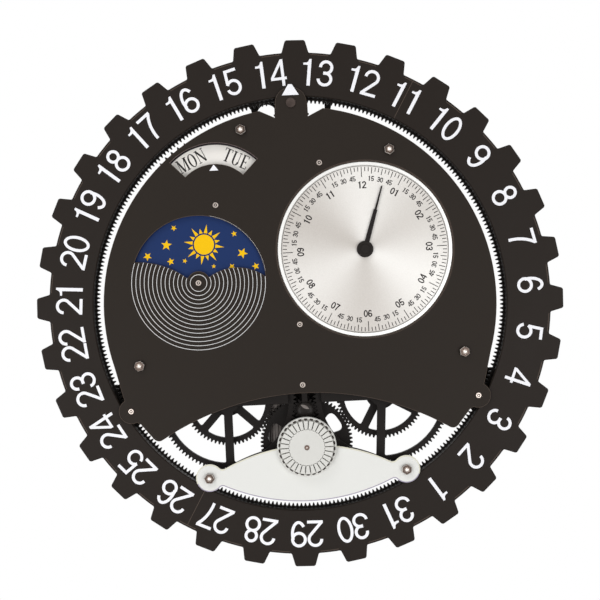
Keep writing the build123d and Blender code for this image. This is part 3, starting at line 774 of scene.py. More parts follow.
kidneys = dict(windows=3, window_steps=4, window_inner=15.0, window_outer=30.3,
               inner_half=math.radians(16.5), outer_half=math.radians(16.5),
               window_first=math.radians(57), window_pitch=math.radians(115.5), window_corner=3.2)
for side, large, small in (("left", 180.0, 223.0), ("right", 183.7, 209.0)):
    gear(side + "_large_wheel", 104, ARBOR_BORE, windows=spoke_windows(9.0, 47.1, 3.25, large))
    gear(side + "_small_wheel", 68, ARBOR_BORE, windows=spoke_windows(12.0, 28.9, 3.1, small), fuller=0.05)
gear("centre_wheel", 70, ARBOR_BORE, windows=kidneys, fuller=0.05)
gear("drive_pinion", 16, ARBOR_BORE)
gear("top_gear", 26, ARBOR_BORE)


# %% [markdown]
# The ring gear is two halves in the CAD, bolted to a wall that carries the numbers. Its teeth point
# inwards, so the same tree is used the other way round: the teeth are the hole, and the circle is
# the outside. Three pinions turn on pins, and each has a short sleeve in front of its teeth.

# %% Grow the ring gear and the sleeved pinions
RING_INNER = 157.0
PIVOT_BORE = 2.05
SLEEVE_R = 3.6


def pipe(name, outer, inner, rear, front, body, material, slot, sides, x=0.0, z=0.0, edge=0.15, replaces=()):
    """A ring between two depths, with broken edges."""
    loops = [[at(radius, 360 * i / sides, x, z) for i in range(sides)] for radius in (outer, inner)]
    return piece(name, sheet(name, loops, rear, front, edge), body, material, slot, replaces)


wall_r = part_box("gear_ring_right")[1].x / MM
gear("gear_ring_left", 310, wall_r, inside=True)
pipe("ring_wall", wall_r, RING_INNER, LAYER_FRONT["gear_ring_left"], rear_of("number_ring_left"),
     "date_ring", black_plastic, "black_plastic", 240, replaces=["gear_ring_right"])
for node, teeth in zip(SLEEVED, (12, 12, 16)):
    gear(node, teeth, PIVOT_BORE)
    pipe(node + "_sleeve", SLEEVE_R, PIVOT_BORE, LAYER_FRONT[node], front_of(node), body_of(node),
         black_plastic, "black_plastic", 40, *hub[body_of(node)])
print("ring gear wall from", RING_INNER, "to", round(wall_r, 1))


# %% [markdown]
# ## Printing
# The numbers are flat print in a plain grotesque. A text object could write them, but it would bring
# a typeface of its own. So each digit is one or two strokes of even width on a grid of unit height,
# along straight lines and parts of ellipses.

# %% Strokes
def swing(x, z, half_x, half_z, start=0, end=360):
    """Points on part of an ellipse, from one clock angle to another."""
    steps = max(6, round(abs(end - start) / 9))
    turns = [math.radians(start + (end - start) * i / steps) for i in range(steps + 1)]
    return [(x + half_x * math.sin(turn), z + half_z * math.cos(turn)) for turn in turns]


def band(path, wide):
    """The loops round a stroke of even width along a path."""
    left, right = [], []
    for before, here, after in zip(path[:1] + path, path, path[1:] + path[-1:]):
        along = (Vector(after) - Vector(before)).normalized()
        side = Vector((-along.y, along.x)) * wide / 2
        left.append(tuple(Vector(here) + side))
        right.append(tuple(Vector(here) - side))
    return [left + right[::-1]]


def oval(x, z, half_x, half_z, wide):
    """The loops round a closed elliptic stroke."""
    return [swing(x, z, half_x + by, half_z + by)[:-1] for by in (wide / 2, -wide / 2)]


print("points round a half circle:", len(swing(0, 0, 1, 1, 0, 180)))


# %% [markdown]
# One rule serves the big white numbers of the ring and the small bold ones of the dial. A bolder
# digit could be a scaled one, but then it would grow outwards. Here the outside stays where it is
# and the centre lines move in. Where two strokes of a digit cross, the second is a little thinner,
# so that no two faces lie in one plane.

# %% Digit shapes
DIGIT_WIDE = 0.585
DIGIT_PITCH = 0.615
STROKE = 0.11
BOLD_STROKE = 0.16
LAYER_STEP = 0.25


def digit_strokes(wide):
    """The strokes of each digit, all of one width."""
    inset, middle = wide / 2, DIGIT_WIDE / 2
    low, high, half = inset, 1 - inset, middle - inset
    left, right, flag = 0.3125 - 0.57 * wide, 0.3125 + 0.57 * wide, 0.845 - 0.68 * wide
    one = [(left, 0), (right, 0), (right, 1), (0.3, 1), (0.25, 0.89), (0.19, 0.855), (0.08, 0.845),
           (0.08, flag), (left, flag)]
    left, right = 0.455 - inset, 0.455 + inset
    under, over, slant = 0.285 - 0.45 * wide, 0.285 + 0.45 * wide, 1.045 * wide
    four = [(0, under), (left, under), (left, 0), (right, 0), (right, under), (0.59, under),
            (0.59, over), (right, over), (right, 1), (left + 0.01, 1), (0, over)]
    hole = [(slant, over), (left, over), (left, over + (left - slant) * 1.614)]
    foot_bowl = oval(middle, 0.3, half, 0.2925 - inset, wide)
    six = [foot_bowl, band(swing(middle, 0.5, half, 0.4925 - inset, -118, 52), wide)]
    two = swing(middle, 0.7, half, 0.2925 - inset, -90, 132) + [(0.06, 0.08)]
    three_head = swing(0.325, 0.72, 0.2675 - inset, 0.2725 - inset, -90, 180) + [(0.23, 0.5025)]
    three_foot = [(0.23, 0.51)] + swing(middle, 0.2875, half, 0.2775 - inset, 0, 270)
    five = swing(middle, 0.31, half, 0.3025 - inset, -62, 258)
    seven = swing(1.1, 0, 0.88, 1.205, 270, 319)
    return {
        "0": [oval(middle, 0.5, half, 0.4925 - inset, wide)],
        "1": [[one]],
        "2": [band(two, wide), band([(0, low), (DIGIT_WIDE, low)], wide)],
        "3": [band(three_head, wide), band(three_foot, wide)],
        "4": [[four, hole]],
        "5": [band([(0.15, 1), (0.1, 0.46)], wide), band([(0.12, high), (0.55, high)], wide),
              band(five, wide)],
        "6": six,
        "7": [band([(0, high), (DIGIT_WIDE, high)], wide), band(seven, wide)],
        "8": [oval(middle, 0.7375, 0.25 - inset, 0.255 - inset, wide), foot_bowl],
        "9": [[[(DIGIT_WIDE - x, 1 - z) for x, z in loop] for loop in loops] for loops in six],
    }


def stroke_mesh(layer, loops):
    return filled_curve("digit", loops, 1 - LAYER_STEP * layer)


digit_shapes = {
    wide: {digit: [stroke_mesh(layer, loops) for layer, loops in enumerate(strokes)]
           for digit, strokes in digit_strokes(wide).items()}
    for wide in (STROKE, BOLD_STROKE)
}
print("digits:", len(digit_shapes[STROKE]))


# %% [markdown]
# Print is a thin film of paint. It could be a colour in the plate's material, but that would need
# an image. So it is a real layer of 0.06 mm, and all marks of one print are joined into one piece,
# because they lie on one part and move together.

# %% A joined print
PRINT_THICK = 0.06


class Print:
    """Characters and marks that are joined into one piece, drawn flat in millimetres."""

    def __init__(self):
        self.shape = bmesh.new()

    def stamp(self, mesh, matrix):
        copy = mesh.copy()
        copy.transform(matrix)
        self.shape.from_mesh(copy)
        bpy.data.meshes.remove(copy)

    def number(self, digits, height, x, z, turn=0.0, wide=STROKE):
        """Writes a number centred on (x, z), turned clockwise, its middle height on the point."""
        start = -(DIGIT_WIDE + DIGIT_PITCH * (len(digits) - 1)) / 2
        base = Matrix.Translation((x, z, 0)) @ Matrix.Rotation(-math.radians(turn), 4, "Z")
        for place, digit in enumerate(digits):
            shift = Matrix.Translation(((start + place * DIGIT_PITCH) * height, -height / 2, 0))
            for shape in digit_shapes[wide][digit]:
                self.stamp(shape, base @ shift @ Matrix.Diagonal((height, height, PRINT_THICK, 1)))

    def block(self, points):
        """A filled straight-sided mark."""
        self.stamp(filled_curve("mark", [points], 1.0), Matrix.Diagonal((1, 1, PRINT_THICK, 1)))

    def arc(self, x, z, inner, outer, start=0.0, end=360.0):
        """A band from one clock angle to another, or all the way round."""
        steps = max(3, int((end - start) / 3))
        half = PRINT_THICK / 2
        ring = []
        for i in range(steps + 1):
            turn = start + (end - start) * i / steps
            corners = [(*at(radius, turn, x, z), h) for radius in (inner, outer) for h in (-half, half)]
            ring.append([self.shape.verts.new(corner) for corner in corners])
        for a, b in zip(ring[:-1], ring[1:]):
            for i, j in ((0, 1), (1, 3), (3, 2), (2, 0)):
                self.shape.faces.new((a[i], a[j], b[j], b[i]))
        if end - start < 359.9:
            for row in (ring[0], ring[-1]):
                self.shape.faces.new((row[0], row[1], row[3], row[2]))

    def piece(self, name, depth, body, material, slot):
        """Merges the marks and lays them on a surface at a depth."""
        bmesh.ops.remove_doubles(self.shape, verts=self.shape.verts, dist=1e-5)
        bmesh.ops.recalc_face_normals(self.shape, faces=self.shape.faces)
        mesh = bpy.data.meshes.new(name)
        self.shape.to_mesh(mesh)
        self.shape.free()
        mesh.transform(to_wall(depth + PRINT_THICK / 2))
        return piece(name, mesh, body, material, slot)


# %% [markdown]
# The ring carries the days of the month and moves on by one day in 31. The numbers run against the
# clock, so that the pointer at the top meets them in order, and each has its head at the rim.

# %% Print the date ring
DAYS = 31
PITCH = 360 / DAYS
THIRTEEN_AT = 6.8
NUMBER_HIGH, NUMBER_R = 20.3, 175.3
RING_FRONT = front_of("number_ring_left")
numbers = Print()
for day in range(1, DAYS + 1):
    turn = THIRTEEN_AT - (day - 13) * PITCH
    numbers.number(str(day), NUMBER_HIGH, *at(NUMBER_R, turn), turn)
numbers.piece("date_numbers", RING_FRONT, "date_ring", white_print, "white_print")
print("numbers printed:", DAYS)

# %% [markdown]
# A fine step follows each gap between the outer teeth, and the two halves of the ring butt along a line that
# falls in two of the gaps. Both could be cut into the plate, but they are hairlines, so the highlight that their
# edges catch is painted on as a thin pale print, which shows them just as well.

# %% Paint the highlights on the fine lines of the ring
STEP_R = (ROOT_R - 1.75, ROOT_R - 1.35)
STEP_HALF = 2.1
SEAM_WIDE = 0.35
ring_lines = Print()
for gap in range(OUTER_TEETH):
    middle = outer_tooth + (gap + 0.5) * 360 / OUTER_TEETH
    ring_lines.arc(0, 0, *STEP_R, middle - STEP_HALF, middle + STEP_HALF)
ring_lines.piece("ring_lines", RING_FRONT, "date_ring", cut_edge, "black_metal")
half_outline = max(outline_loops("number_ring_left"), key=len)
sides = zip(half_outline, half_outline[1:] + half_outline[:1])
seams = Print()
ends = sorted(sides, key=lambda pair: math.dist(*pair))[-2:]
for pair in ends:
    near, far = sorted((Vector(point) for point in pair), key=lambda point: point.length)
    seams.block(band([tuple(far * 0.995), tuple(near * 1.003)], SEAM_WIDE)[0])
seams.piece("seam_lines", RING_FRONT, "date_ring", cut_edge, "black_metal")
print("steps and seams:", OUTER_TEETH, "and", len(ends))

# %% [markdown]
# ## The face
# The front plate has a window for the sky disc and one for the weekday. Both are found in the
# plate's own outline, as the narrowest loop round a point that lies in the window, so the print
# follows them.

# %% Find the windows in the plate
SKY = hub["sky_body"]
DAY = hub["weekday_body"]
DIAL = hub["hand_body"]
FACE = front_of("front_plate")
NAME_R = 39.2


def holds(loop, x, z):
    """Whether a closed loop goes round a point."""
    odd = False
    for (ax, az), (bx, bz) in zip(loop, loop[1:] + loop[:1]):
        if (az > z) != (bz > z) and x < ax + (z - az) * (bx - ax) / (bz - az):
            odd = not odd
    return odd
def window_at(x, z):
    """The narrowest loop of the front plate that goes round a point."""
    round_it = [loop for loop in plate_loops if holds(loop, x, z)]
    return min(round_it, key=lambda loop: max(loop)[0] - min(loop)[0])


sky_window = window_at(*at(30, 8, *SKY))
day_window = window_at(*at(NAME_R, 0, *DAY))
sky_r = max(math.dist(point, SKY) for point in sky_window)
day_r = max(math.dist(point, DAY) for point in day_window)
day_half = max(math.degrees(math.atan2(x - DAY[0], z - DAY[1])) for x, z in day_window)
print("windows reach", round(sky_r, 1), "and", round(day_r, 1), "mm from their hubs")

# %% [markdown]
# Fifteen fine circles are printed round the hub of the sky disc. They stop at the window, so each circle is
# walked in steps of a degree and only the stretch on the plate is kept. A last hairline is a painted highlight
# along the upper right of the window's rim.

# %% Print the circles
CIRCLES = 15
LINE = 0.4
FIRST_R, LAST_R = 6.3, 50.6
face_print = Print()
for circle in range(CIRCLES):
    radius = FIRST_R + circle * (LAST_R - FIRST_R) / (CIRCLES - 1)
    kept = [not holds(sky_window, *at(radius + LINE / 2, turn, *SKY)) for turn in range(361)]
    first, last = 0, 360
    if not all(kept):
        first = next(turn for turn in range(360) if kept[turn] and not kept[turn - 1])
        last = next(turn for turn in range(first + 1, first + 361) if not kept[turn % 360]) - 1
    face_print.arc(*SKY, radius - LINE / 2, radius + LINE / 2, first, last)
# A painted highlight on the upper right of the sky window's rim.
face_print.arc(*SKY, sky_r + 0.35, sky_r + 0.47, 12, 82)
face_print.piece("face_circles", FACE, "frame", fine_print, "white_print")
print("circles printed:", CIRCLES)

# %% [markdown]
# The weekday window shows the cut of the plate as a thin painted highlight, with a dark band of painted shade
# behind it. The rim of the dial leaves a hairline of painted highlight on the plate, and a small white arrow
# points at the day. All four are prints, because each is too thin to need a shape of its own.

# %% Edge the weekday window and draw the arrow
ARROW_HALF, ARROW_FOOT, ARROW_TIP = 3.4, 103.2, 107.8
# A dark band of painted shade behind the plate, seen inside the window's outer edge.
shade_band = Print()
shade_band.arc(*DAY, day_r - 1.15, day_r + 1.5, -day_half, day_half)
shade_band.piece("window_lip", rear_of("front_plate") - PRINT_THICK - 0.05, "frame", ink, "black_metal")
# A painted highlight along the cut of the window's outer edge.
highlight_line = Print()
highlight_line.arc(*DAY, day_r - 0.05, day_r + 0.4, -day_half, day_half)
highlight_line.piece("window_line", FACE - 0.35, "frame", worn_edge, "black_metal")
# A painted highlight round the edge of the dial's opening.
rim_highlight = Print()
rim_highlight.arc(*DIAL, 67.2, 67.5)
rim_highlight.piece("dial_rim_line", FACE, "frame", cut_edge, "black_metal")
arrow = Print()
foot = [(DAY[0] - ARROW_HALF, ARROW_FOOT), (DAY[0] + ARROW_HALF, ARROW_FOOT)]
arrow.block(foot + [(DAY[0], ARROW_TIP)])
arrow.piece("day_arrow", FACE, "frame", white_print, "white_print")
print("the weekday window spans", round(2 * day_half), "degrees")


# %% [markdown]
# The weekday letters are a slim serif face: thick and thin strokes with short serifs. A font could
# bring them, but the script reads no other file. Each letter is a few strokes on a grid of unit
# height, and a stroke is a straight bar or a ring that is thick at its sides.

# %% Serif letters from strokes
THICK, THIN, SERIF = 0.14, 0.05, 0.2


def bars(wide, *ends):
    """Straight strokes of one width, each given by its two ends."""
    return [band([(ax, az), (bx, bz)], wide)[0] for ax, az, bx, bz in ends]


def stem(x, wide=THICK, low=0.0, foot=True, head=True):
    """An upright stroke with its serifs."""
    parts = bars(wide, (x, low, x, 1.0))
    for z, there in ((low + THIN / 2, foot), (1.0 - THIN / 2, head)):
        if there:
            parts += bars(THIN, (x - SERIF / 2 - wide / 3, z, x + SERIF / 2 + wide / 3, z))
    return parts


def bowl(x, z, half_x, half_z, start=0, end=360):
    """A ring that is thick at its sides and thin at its top and foot."""
    steps = 24
    turns = [math.radians(start + (end - start) * i / steps) for i in range(steps + 1)]
    rim = []
    for way in (1, -1):
        across = half_x - THICK / 2 + way * THICK / 2
        up = half_z - THIN / 2 + way * THIN / 2
        rim += [(x + across * math.sin(turn), z + up * math.cos(turn)) for turn in turns[::way]]
    return [rim]


LETTERS = {
    "M": (0.86, stem(0.1, THIN) + stem(0.76) + bars(THICK, (0.12, 0.98, 0.42, 0.02))
          + bars(THIN, (0.42, 0.02, 0.72, 0.98))),
    "O": (0.64, bowl(0.32, 0.5, 0.32, 0.52)),
    "N": (0.72, stem(0.1, THIN) + stem(0.62, THIN, foot=False) + bars(THICK, (0.1, 0.98, 0.61, 0.02))),
    "T": (0.62, stem(0.31, head=False)
          + bars(THIN, (0, 0.97, 0.62, 0.97), (0.02, 0.98, 0.02, 0.78), (0.6, 0.98, 0.6, 0.78))),
    "U": (0.68, stem(0.14, low=0.3, foot=False) + stem(0.58, THIN, low=0.3, foot=False)
          + bowl(0.35, 0.3, 0.28, 0.31, 90, 270)),
    "E": (0.56, stem(0.14)
          + bars(THIN, (0.1, 0.97, 0.52, 0.97), (0.1, 0.5, 0.4, 0.5), (0.1, 0.03, 0.54, 0.03))
          + bars(THIN, (0.51, 0.98, 0.51, 0.8), (0.4, 0.58, 0.4, 0.42), (0.53, 0.02, 0.53, 0.22))),
    "W": (0.9, bars(THICK, (0.06, 0.98, 0.27, 0.02)) + bars(THIN, (0.27, 0.02, 0.46, 0.9))
          + bars(THICK, (0.42, 0.98, 0.64, 0.02)) + bars(THIN, (0.64, 0.02, 0.84, 0.98))
          + bars(THIN, (0, 0.97, 0.2, 0.97), (0.74, 0.97, 0.92, 0.97))),
    "D": (0.66, stem(0.14) + bowl(0.2, 0.5, 0.44, 0.5, 0, 180)),
    "H": (0.7, stem(0.14) + stem(0.56) + bars(THIN, (0.14, 0.5, 0.56, 0.5))),
    "F": (0.52, stem(0.14) + bars(THIN, (0.1, 0.97, 0.5, 0.97), (0.1, 0.5, 0.38, 0.5))
          + bars(THIN, (0.49, 0.98, 0.49, 0.78), (0.38, 0.58, 0.38, 0.42))),
    "R": (0.64, stem(0.14) + bowl(0.2, 0.74, 0.32, 0.26, 0, 180) + bars(THICK, (0.28, 0.5, 0.58, 0.02))),
    "I": (0.3, stem(0.15)),
    "S": (0.5, bowl(0.25, 0.75, 0.21, 0.25, 180, 430) + bowl(0.25, 0.26, 0.22, 0.26, 0, 250)),
    "A": (0.7, bars(THIN, (0.1, 0.02, 0.36, 0.98)) + bars(THICK, (0.36, 0.98, 0.6, 0.02))
          + bars(THIN, (0.2, 0.34, 0.5, 0.34), (0.0, 0.03, 0.22, 0.03), (0.46, 0.03, 0.72, 0.03))),
}
print("weekday letters:", len(LETTERS))


# %% [markdown]
# The disc behind the window carries all seven names, although only two show at a time. Each name is
# centred on its own seventh of the disc.

# %% Print the weekday disc
NAMES = ("MON", "TUE", "WED", "THU", "FRI", "SAT", "SUN")
MONDAY_AT = -26.2
NAME_HIGH, NAME_STRETCH, NAME_GAP = 10.4, 0.9, 0.1


def serif_word(target, word, x, z, turn):
    """Stamps a word on a print, centred on (x, z) and turned clockwise."""
    widths = [LETTERS[letter][0] * NAME_STRETCH for letter in word]
    start = -(sum(widths) + NAME_GAP * (len(word) - 1)) / 2
    base = Matrix.Translation((x, z, 0)) @ Matrix.Rotation(-math.radians(turn), 4, "Z")
    size = Matrix.Diagonal((NAME_HIGH * NAME_STRETCH, NAME_HIGH, PRINT_THICK, 1))
    for letter, width in zip(word, widths):
        place = Matrix.Translation((start * NAME_HIGH, -NAME_HIGH / 2, 0))
        for loop in LETTERS[letter][1]:
            target.stamp(filled_curve("stroke", [loop], 1.0), base @ place @ size)
        start += width + NAME_GAP


weekdays = Print()
for number, name in enumerate(NAMES):
    turn = MONDAY_AT + number * 360 / len(NAMES)
    serif_word(weekdays, name, *at(NAME_R, turn, *DAY), turn)
weekdays.piece("weekday_names", front_of("day_disc"), "weekday_body", ink, "black_metal")
print("weekdays printed:", len(NAMES))

# %% [markdown]
# ## The sky disc
# The disc is a night-blue sheet with a gold sun on one half and a crescent moon among stars on the
# other. The motif is a plain one of this script's own: a round sun with straight tapered rays.

# %% A sun, a moon and stars
SUN_R, RAY_FOOT, RAYS = 7.6, 8.8, 16
RAY_TIPS = (15.5, 12.5)
MOON_R, SHADE_R = 10, 8.4
DAY_STARS = (
    (38, -38, 4.2), (44, -60, 3.4), (27, -50, 3.0), (46, -22, 2.4), (31, -74, 2.2), (20, -30, 2.0),
    (40, 58, 4.2), (45, 76, 3.0), (46, 38, 2.4), (28, 66, 2.6), (35, 84, 1.9), (17, 44, 1.8),
)
NIGHT_STARS = (
    (38, 150, 3.6), (44, 128, 2.6), (28, 140, 2.4), (22, 158, 1.8), (38, 232, 3.6), (45, 252, 2.8),
    (28, 240, 2.4), (44, 208, 2.2), (45, 174, 2.2), (20, 216, 1.8),
)


def star(target, x, z, size, turn):
    """A five-pointed star."""
    target.block([at(size if i % 2 == 0 else size * 0.42, turn + 36 * i, x, z) for i in range(10)])


sky = Print()
sun = at(29.5, 10, *SKY)
sky.block([at(SUN_R, 6 * i, *sun) for i in range(60)])
for ray in range(RAYS):
    turn = 10 + ray * 360 / RAYS
    tip = RAY_TIPS[ray % 2]
    sky.block([at(RAY_FOOT, turn - 9, *sun), at(tip, turn, *sun), at(RAY_FOOT, turn + 9, *sun)])
for radius, turn, size in DAY_STARS:
    star(sky, *at(radius, turn, *SKY), size, turn * 1.7)
moon = at(29.5, 190, *SKY)
outer = [at(MOON_R, 180 * i / 24 + 100, *moon) for i in range(25)]
inner = [at(SHADE_R, 180 * i / 24 + 100, *at(5.2, 10, *moon)) for i in range(25)]
sky.block(outer + inner[::-1])
for radius, turn, size in NIGHT_STARS:
    star(sky, *at(radius, turn, *SKY), size, turn)
sky.piece("sun_moon_stars", front_of("sky_disc"), "sky_body", gold_print, "sky_blue")
print("stars:", len(DAY_STARS) + len(NIGHT_STARS))

# %% [markdown]
# ## The second dial
# The dial has 144 marks, one for every five minutes: long at the hours, middling at the quarters.
# That is a rule on a circle, so Geometry Nodes make the marks, and the numbers are printed.

# %% Marks round a circle
DIAL_FRONT = front_of("time_dial")
MARKS = 144


def mark_tree():
    make = Maker("dial_marks")
    marks, outer = make.input("Marks", "Int"), make.input("Outer")
    long, middle, short = make.input("Long"), make.input("Middle"), make.input("Short")
    wide, depth = make.input("Width"), make.input("Depth")
    index = make.index()
    hour, quarter = (index % 12).below(0.5), (index % 3).below(0.5)
    length = short + quarter * (middle - short) + hour * (long - middle)
    turn = index * math.tau / marks
    spots = make.add("GeometryNodePoints", {}, {"Count": marks})
    placed = make.place(spots, outer - length / 2, turn, depth)
    cube = make.add("GeometryNodeMeshCube", {}, {"Size": (1, 1, PRINT_THICK)})
    size = make.combine(X=wide, Y=length, Z=1.0)
    return make.finish(make.copies(placed, cube, 0 - turn, Scale=size))


marks = grow(mark_tree(), "dial_marks", marks=MARKS, outer=62.3, long=7.6, middle=4.8, short=3.2,
             width=0.54, depth=DIAL_FRONT + PRINT_THICK / 2, material=ink)
marks.transform(Matrix.Translation((DIAL[0] * MM, 0, DIAL[1] * MM)))
piece("dial_marks", marks, "frame", ink, "black_metal")
print("dial marks:", MARKS)

# %% [markdown]
# Hours stand on one circle and the quarters of an hour on another. On the lower half of the dial
# they are turned over, so that none stands on its head. A pale turned border closes the dial.

# %% Print the dial
HOUR_R, HOUR_HIGH = 48.8, 5.4
QUARTER_R, QUARTER_HIGH = 53.8, 3.9
dial_print = Print()
for hour in range(1, 13):
    turn = hour * 30
    over = 180 * (105 < turn < 255)
    dial_print.number(f"{hour:02d}", HOUR_HIGH, *at(HOUR_R, turn, *DIAL), turn + over, BOLD_STROKE)
    for minutes in (15, 30, 45):
        here = turn + minutes / 2
        over = 180 * (100 < here % 360 < 260)
        place = at(QUARTER_R, here, *DIAL)
        dial_print.number(str(minutes), QUARTER_HIGH, *place, here + over, BOLD_STROKE)
dial_print.arc(*DIAL, 62.9, 63.2)
dial_print.piece("dial_numbers", DIAL_FRONT, "frame", ink, "black_metal")
pipe("dial_border", 66.3, 63.4, DIAL_FRONT, DIAL_FRONT + 1.2, "frame", pale_rim, "brushed_silver", 160,
     *DIAL, edge=0.35)
print("dial at", [round(place, 1) for place in DIAL])

# %% [markdown]
# ## Screws, nuts and other turned parts
# A turned part is a profile swept round an axis. The Screw modifier could sweep it, but each copy
# would need an object. One tree holds them all: nine profile points, a count of sides (six sides
# make a nut), and a mesh of points that says where the copies go. No two nuts are tightened to the
# same angle, so a copy may have a random turn, from a fixed seed.

# %% The turned-part tree
PROFILE = 9
SEED = 7


def turned_tree():
    make = Maker("turned_part")
    places = make.input("Places", "Geometry")
    sides, loose = make.input("Sides", "Int"), make.input("Loose Turn")
    radii = [make.input(f"Radius {i}") for i in range(PROFILE)]
    depths = [make.input(f"Depth {i}") for i in range(PROFILE)]
    grid = make.add("GeometryNodeMeshGrid", {}, {"Vertices X": sides + 1, "Vertices Y": PROFILE})
    index = make.index()
    row, column = index % PROFILE, (index / PROFILE).floor()
    radius, depth = make.pick(row, *radii), make.pick(row, *depths)
    shape = make.place(grid, radius, column * math.tau / sides, depth)
    spread = {2: 0.0, 3: loose, "Seed": SEED}
    spin = make.add("FunctionNodeRandomValue", {"data_type": "FLOAT"}, spread, 1)
    points = make.add("GeometryNodeMeshToPoints", {}, {"Mesh": places})
    return make.finish(make.copies(points, shape, spin))


turned_part = turned_tree()


def turned(name, profile, places, body, material, slot, sides=28, loose=0.0, replaces=()):
    """Copies of one turned shape. The profile runs from the front of the axis to its back."""
    profile = profile + [profile[-1]] * (PROFILE - len(profile))
    radii = {f"radius_{i}": float(radius) for i, (radius, depth) in enumerate(profile)}
    depths = {f"depth_{i}": float(depth) for i, (radius, depth) in enumerate(profile)}
    mesh = grow(turned_part, name, places, sides=sides, loose_turn=loose, material=material,
                **radii, **depths)
    return piece(name, closed(mesh, doubles=2e-6, slivers=True), body, material, slot, replaces)


print("profile points of a turned part:", PROFILE)


# %% [markdown]
# The places of nuts and screws come from the CAD parts, each of which holds many separate solids. A
# set of mesh points has no fixed order, so the places are sorted. Otherwise every run would deal
# the seed's random turns to other nuts.

# %% Find the separate solids of a part
def island_places(node):
    """The middle of each separate solid of a part, as (x, z) in millimetres."""
    shape = bmesh.new()
    shape.from_mesh(frame["nodes"][node].data)
    bmesh.ops.remove_doubles(shape, verts=shape.verts, dist=1e-6)
    left = set(shape.verts)
    places = []
    while left:
        group = {left.pop()}
        edge = list(group)
        while edge:
            near = {e.other_vert(v) for v in edge for e in v.link_edges} & left
            left -= near
            group |= near
            edge = list(near)
        xs, zs = [v.co.x / MM for v in group], [v.co.z / MM for v in group]
        places.append(((min(xs) + max(xs)) / 2, (min(zs) + max(zs)) / 2))
    shape.free()
    return sorted(places)


nut_places = island_places("hex_nuts")
screw_places = island_places("small_screws")
print("nuts and screws:", len(nut_places), "and", len(screw_places))

# %% [markdown]
# The plates are held by M4 nuts on studs whose rounded ends stand out, and by small button screws with a round
# socket. The nuts are darkened to paint the dark reflections on them, a highlight is painted on their broken
# edges, and a dark ring of painted shade fills the socket of each screw. Threads could be modelled, but none of
# them shows.

# %% Nuts with their stud ends, and screws
NUT_FLATS = 7.0
BORE_R, STUD_R = 1.9, 1.85
nut_r = NUT_FLATS / 2 / math.cos(math.pi / 6)
rear, front = rear_of("hex_nuts"), front_of("hex_nuts")
nut = [(BORE_R, rear), (BORE_R, front - 0.3), (2.2, front), (nut_r * 0.9, front), (nut_r, front - 0.45),
       (nut_r, rear), (BORE_R, rear)]
stud = [(0, front + 1.3), (0.8, front + 1.2), (1.5, front + 0.8), (STUD_R, front + 0.2),
        (STUD_R, rear + 0.1), (0, rear + 0.1)]
nuts = turned("nuts", nut, nut_places, "frame", dark_steel, "bright_steel", 6, 1.0, ["hex_nuts"])
# The nuts' broken edges get a painted highlight in bright steel.
bare_edge(nuts, stud_steel)
turned("stud_ends", stud, nut_places, "frame", stud_steel, "bright_steel")
rear, front = rear_of("small_screws"), front_of("small_screws")
head = [(0, front - 0.1), (0.55, front - 0.1), (0.6, front - 0.6), (1.15, front - 0.6), (1.25, front),
        (1.8, front), (2.15, front - 0.35), (2.15, rear), (0, rear)]
socket = [(0.6, front - 0.4), (1.2, front - 0.4), (1.2, front - 0.7), (0.6, front - 0.7), (0.6, front - 0.4)]
turned("screw_heads", head, screw_places, "frame", steel, "bright_steel", replaces=["small_screws"])
# A dark ring of painted shade in the groove of each screw head.
turned("screw_sockets", socket, screw_places, "frame", ink, "black_metal")
print("a nut is", round(2 * nut_r, 2), "mm across its corners")

# %% [markdown]
# Three caps close the ends of shafts: a brown one on the pin of the top roller, a glossy one on the
# gear bridge and a flat one on the dial's hand. The glossy one shows a lens-shaped patch of light.
# It is inlaid in grey, because a reflection would move away with the viewer.

# %% Caps
PIN_R, HEAD_R, HAND_R = 3.85, 5.9, 6.0
rear, front = rear_of("top_pin_cap"), front_of("top_pin_cap")
pin_cap = [(0, front - 0.25), (2.6, front - 0.2), (3.0, front), (3.6, front), (PIN_R, front - 0.25),
           (PIN_R, rear), (0, rear)]
turned("pin_cap", pin_cap, island_places("top_pin_cap"), "frame", cap_brown, "brass_screw", 40,
       replaces=["top_pin_cap"])
spot = island_places("bridge_cap")
end, rear, front = rear_of("bridge_cap"), front_of("gear_bridge"), front_of("bridge_cap")
cap_head = [(0, front - 0.1), (3.8, front - 0.1), (5.2, front - 0.4), (HEAD_R, front - 1.0), (HEAD_R, rear),
            (0, rear)]
turned("cap_head", cap_head, spot, "frame", black_gloss, "black_metal", 48, replaces=["bridge_cap"])
tail = [(0, rear), (2.0, rear), (2.0, end + 0.7), (3.2, end + 0.7), (3.2, end + 0.2), (3.0, end), (0, end)]
turned("cap_stud", tail, spot, "frame", steel, "black_metal", 24)
LENS_R, LENS_HALF, LENS_TILT, LENS_RISE = 6.0, 37, math.radians(28), 2.4
sag = LENS_R * math.cos(math.radians(LENS_HALF))
bow = [(x, z - sag) for x, z in swing(0, 0, LENS_R, LENS_R, -LENS_HALF, LENS_HALF)]
spin = Matrix.Rotation(-LENS_TILT, 2)
middle = Vector(spot[0]) + Vector((0, LENS_RISE))
# The painted reflection on the glossy cap.
lens = Print()
lens.block([tuple(spin @ Vector(point) + middle) for point in bow + [(-x, -z) for x, z in bow[1:-1]]])
lens.piece("cap_slot", front - 0.1, "frame", motor_grey, "black_metal")
front = front_of("time_hand")
hand_cap = [(0, front + 0.5), (3.6, front + 0.5), (4.0, front + 0.9), (5.6, front + 0.9),
            (HAND_R, front + 0.5), (HAND_R, front - 0.1), (0, front - 0.1)]
turned("hand_cap", hand_cap, [DIAL], "hand_body", black_gloss, "black_metal", 64)
print("cap of the bridge at", [round(place, 1) for place in spot[0]])

# %% [markdown]
# ## The setting knob
# The knob is a silver-white disc with a raised rim. On it sits a wheel with thirty open slots, which is the gear
# tree once more with wide teeth and no windows. The slots are shallow and their own shade hardly shows, so a
# dark line of painted shade marks the foot and the mouth of each.

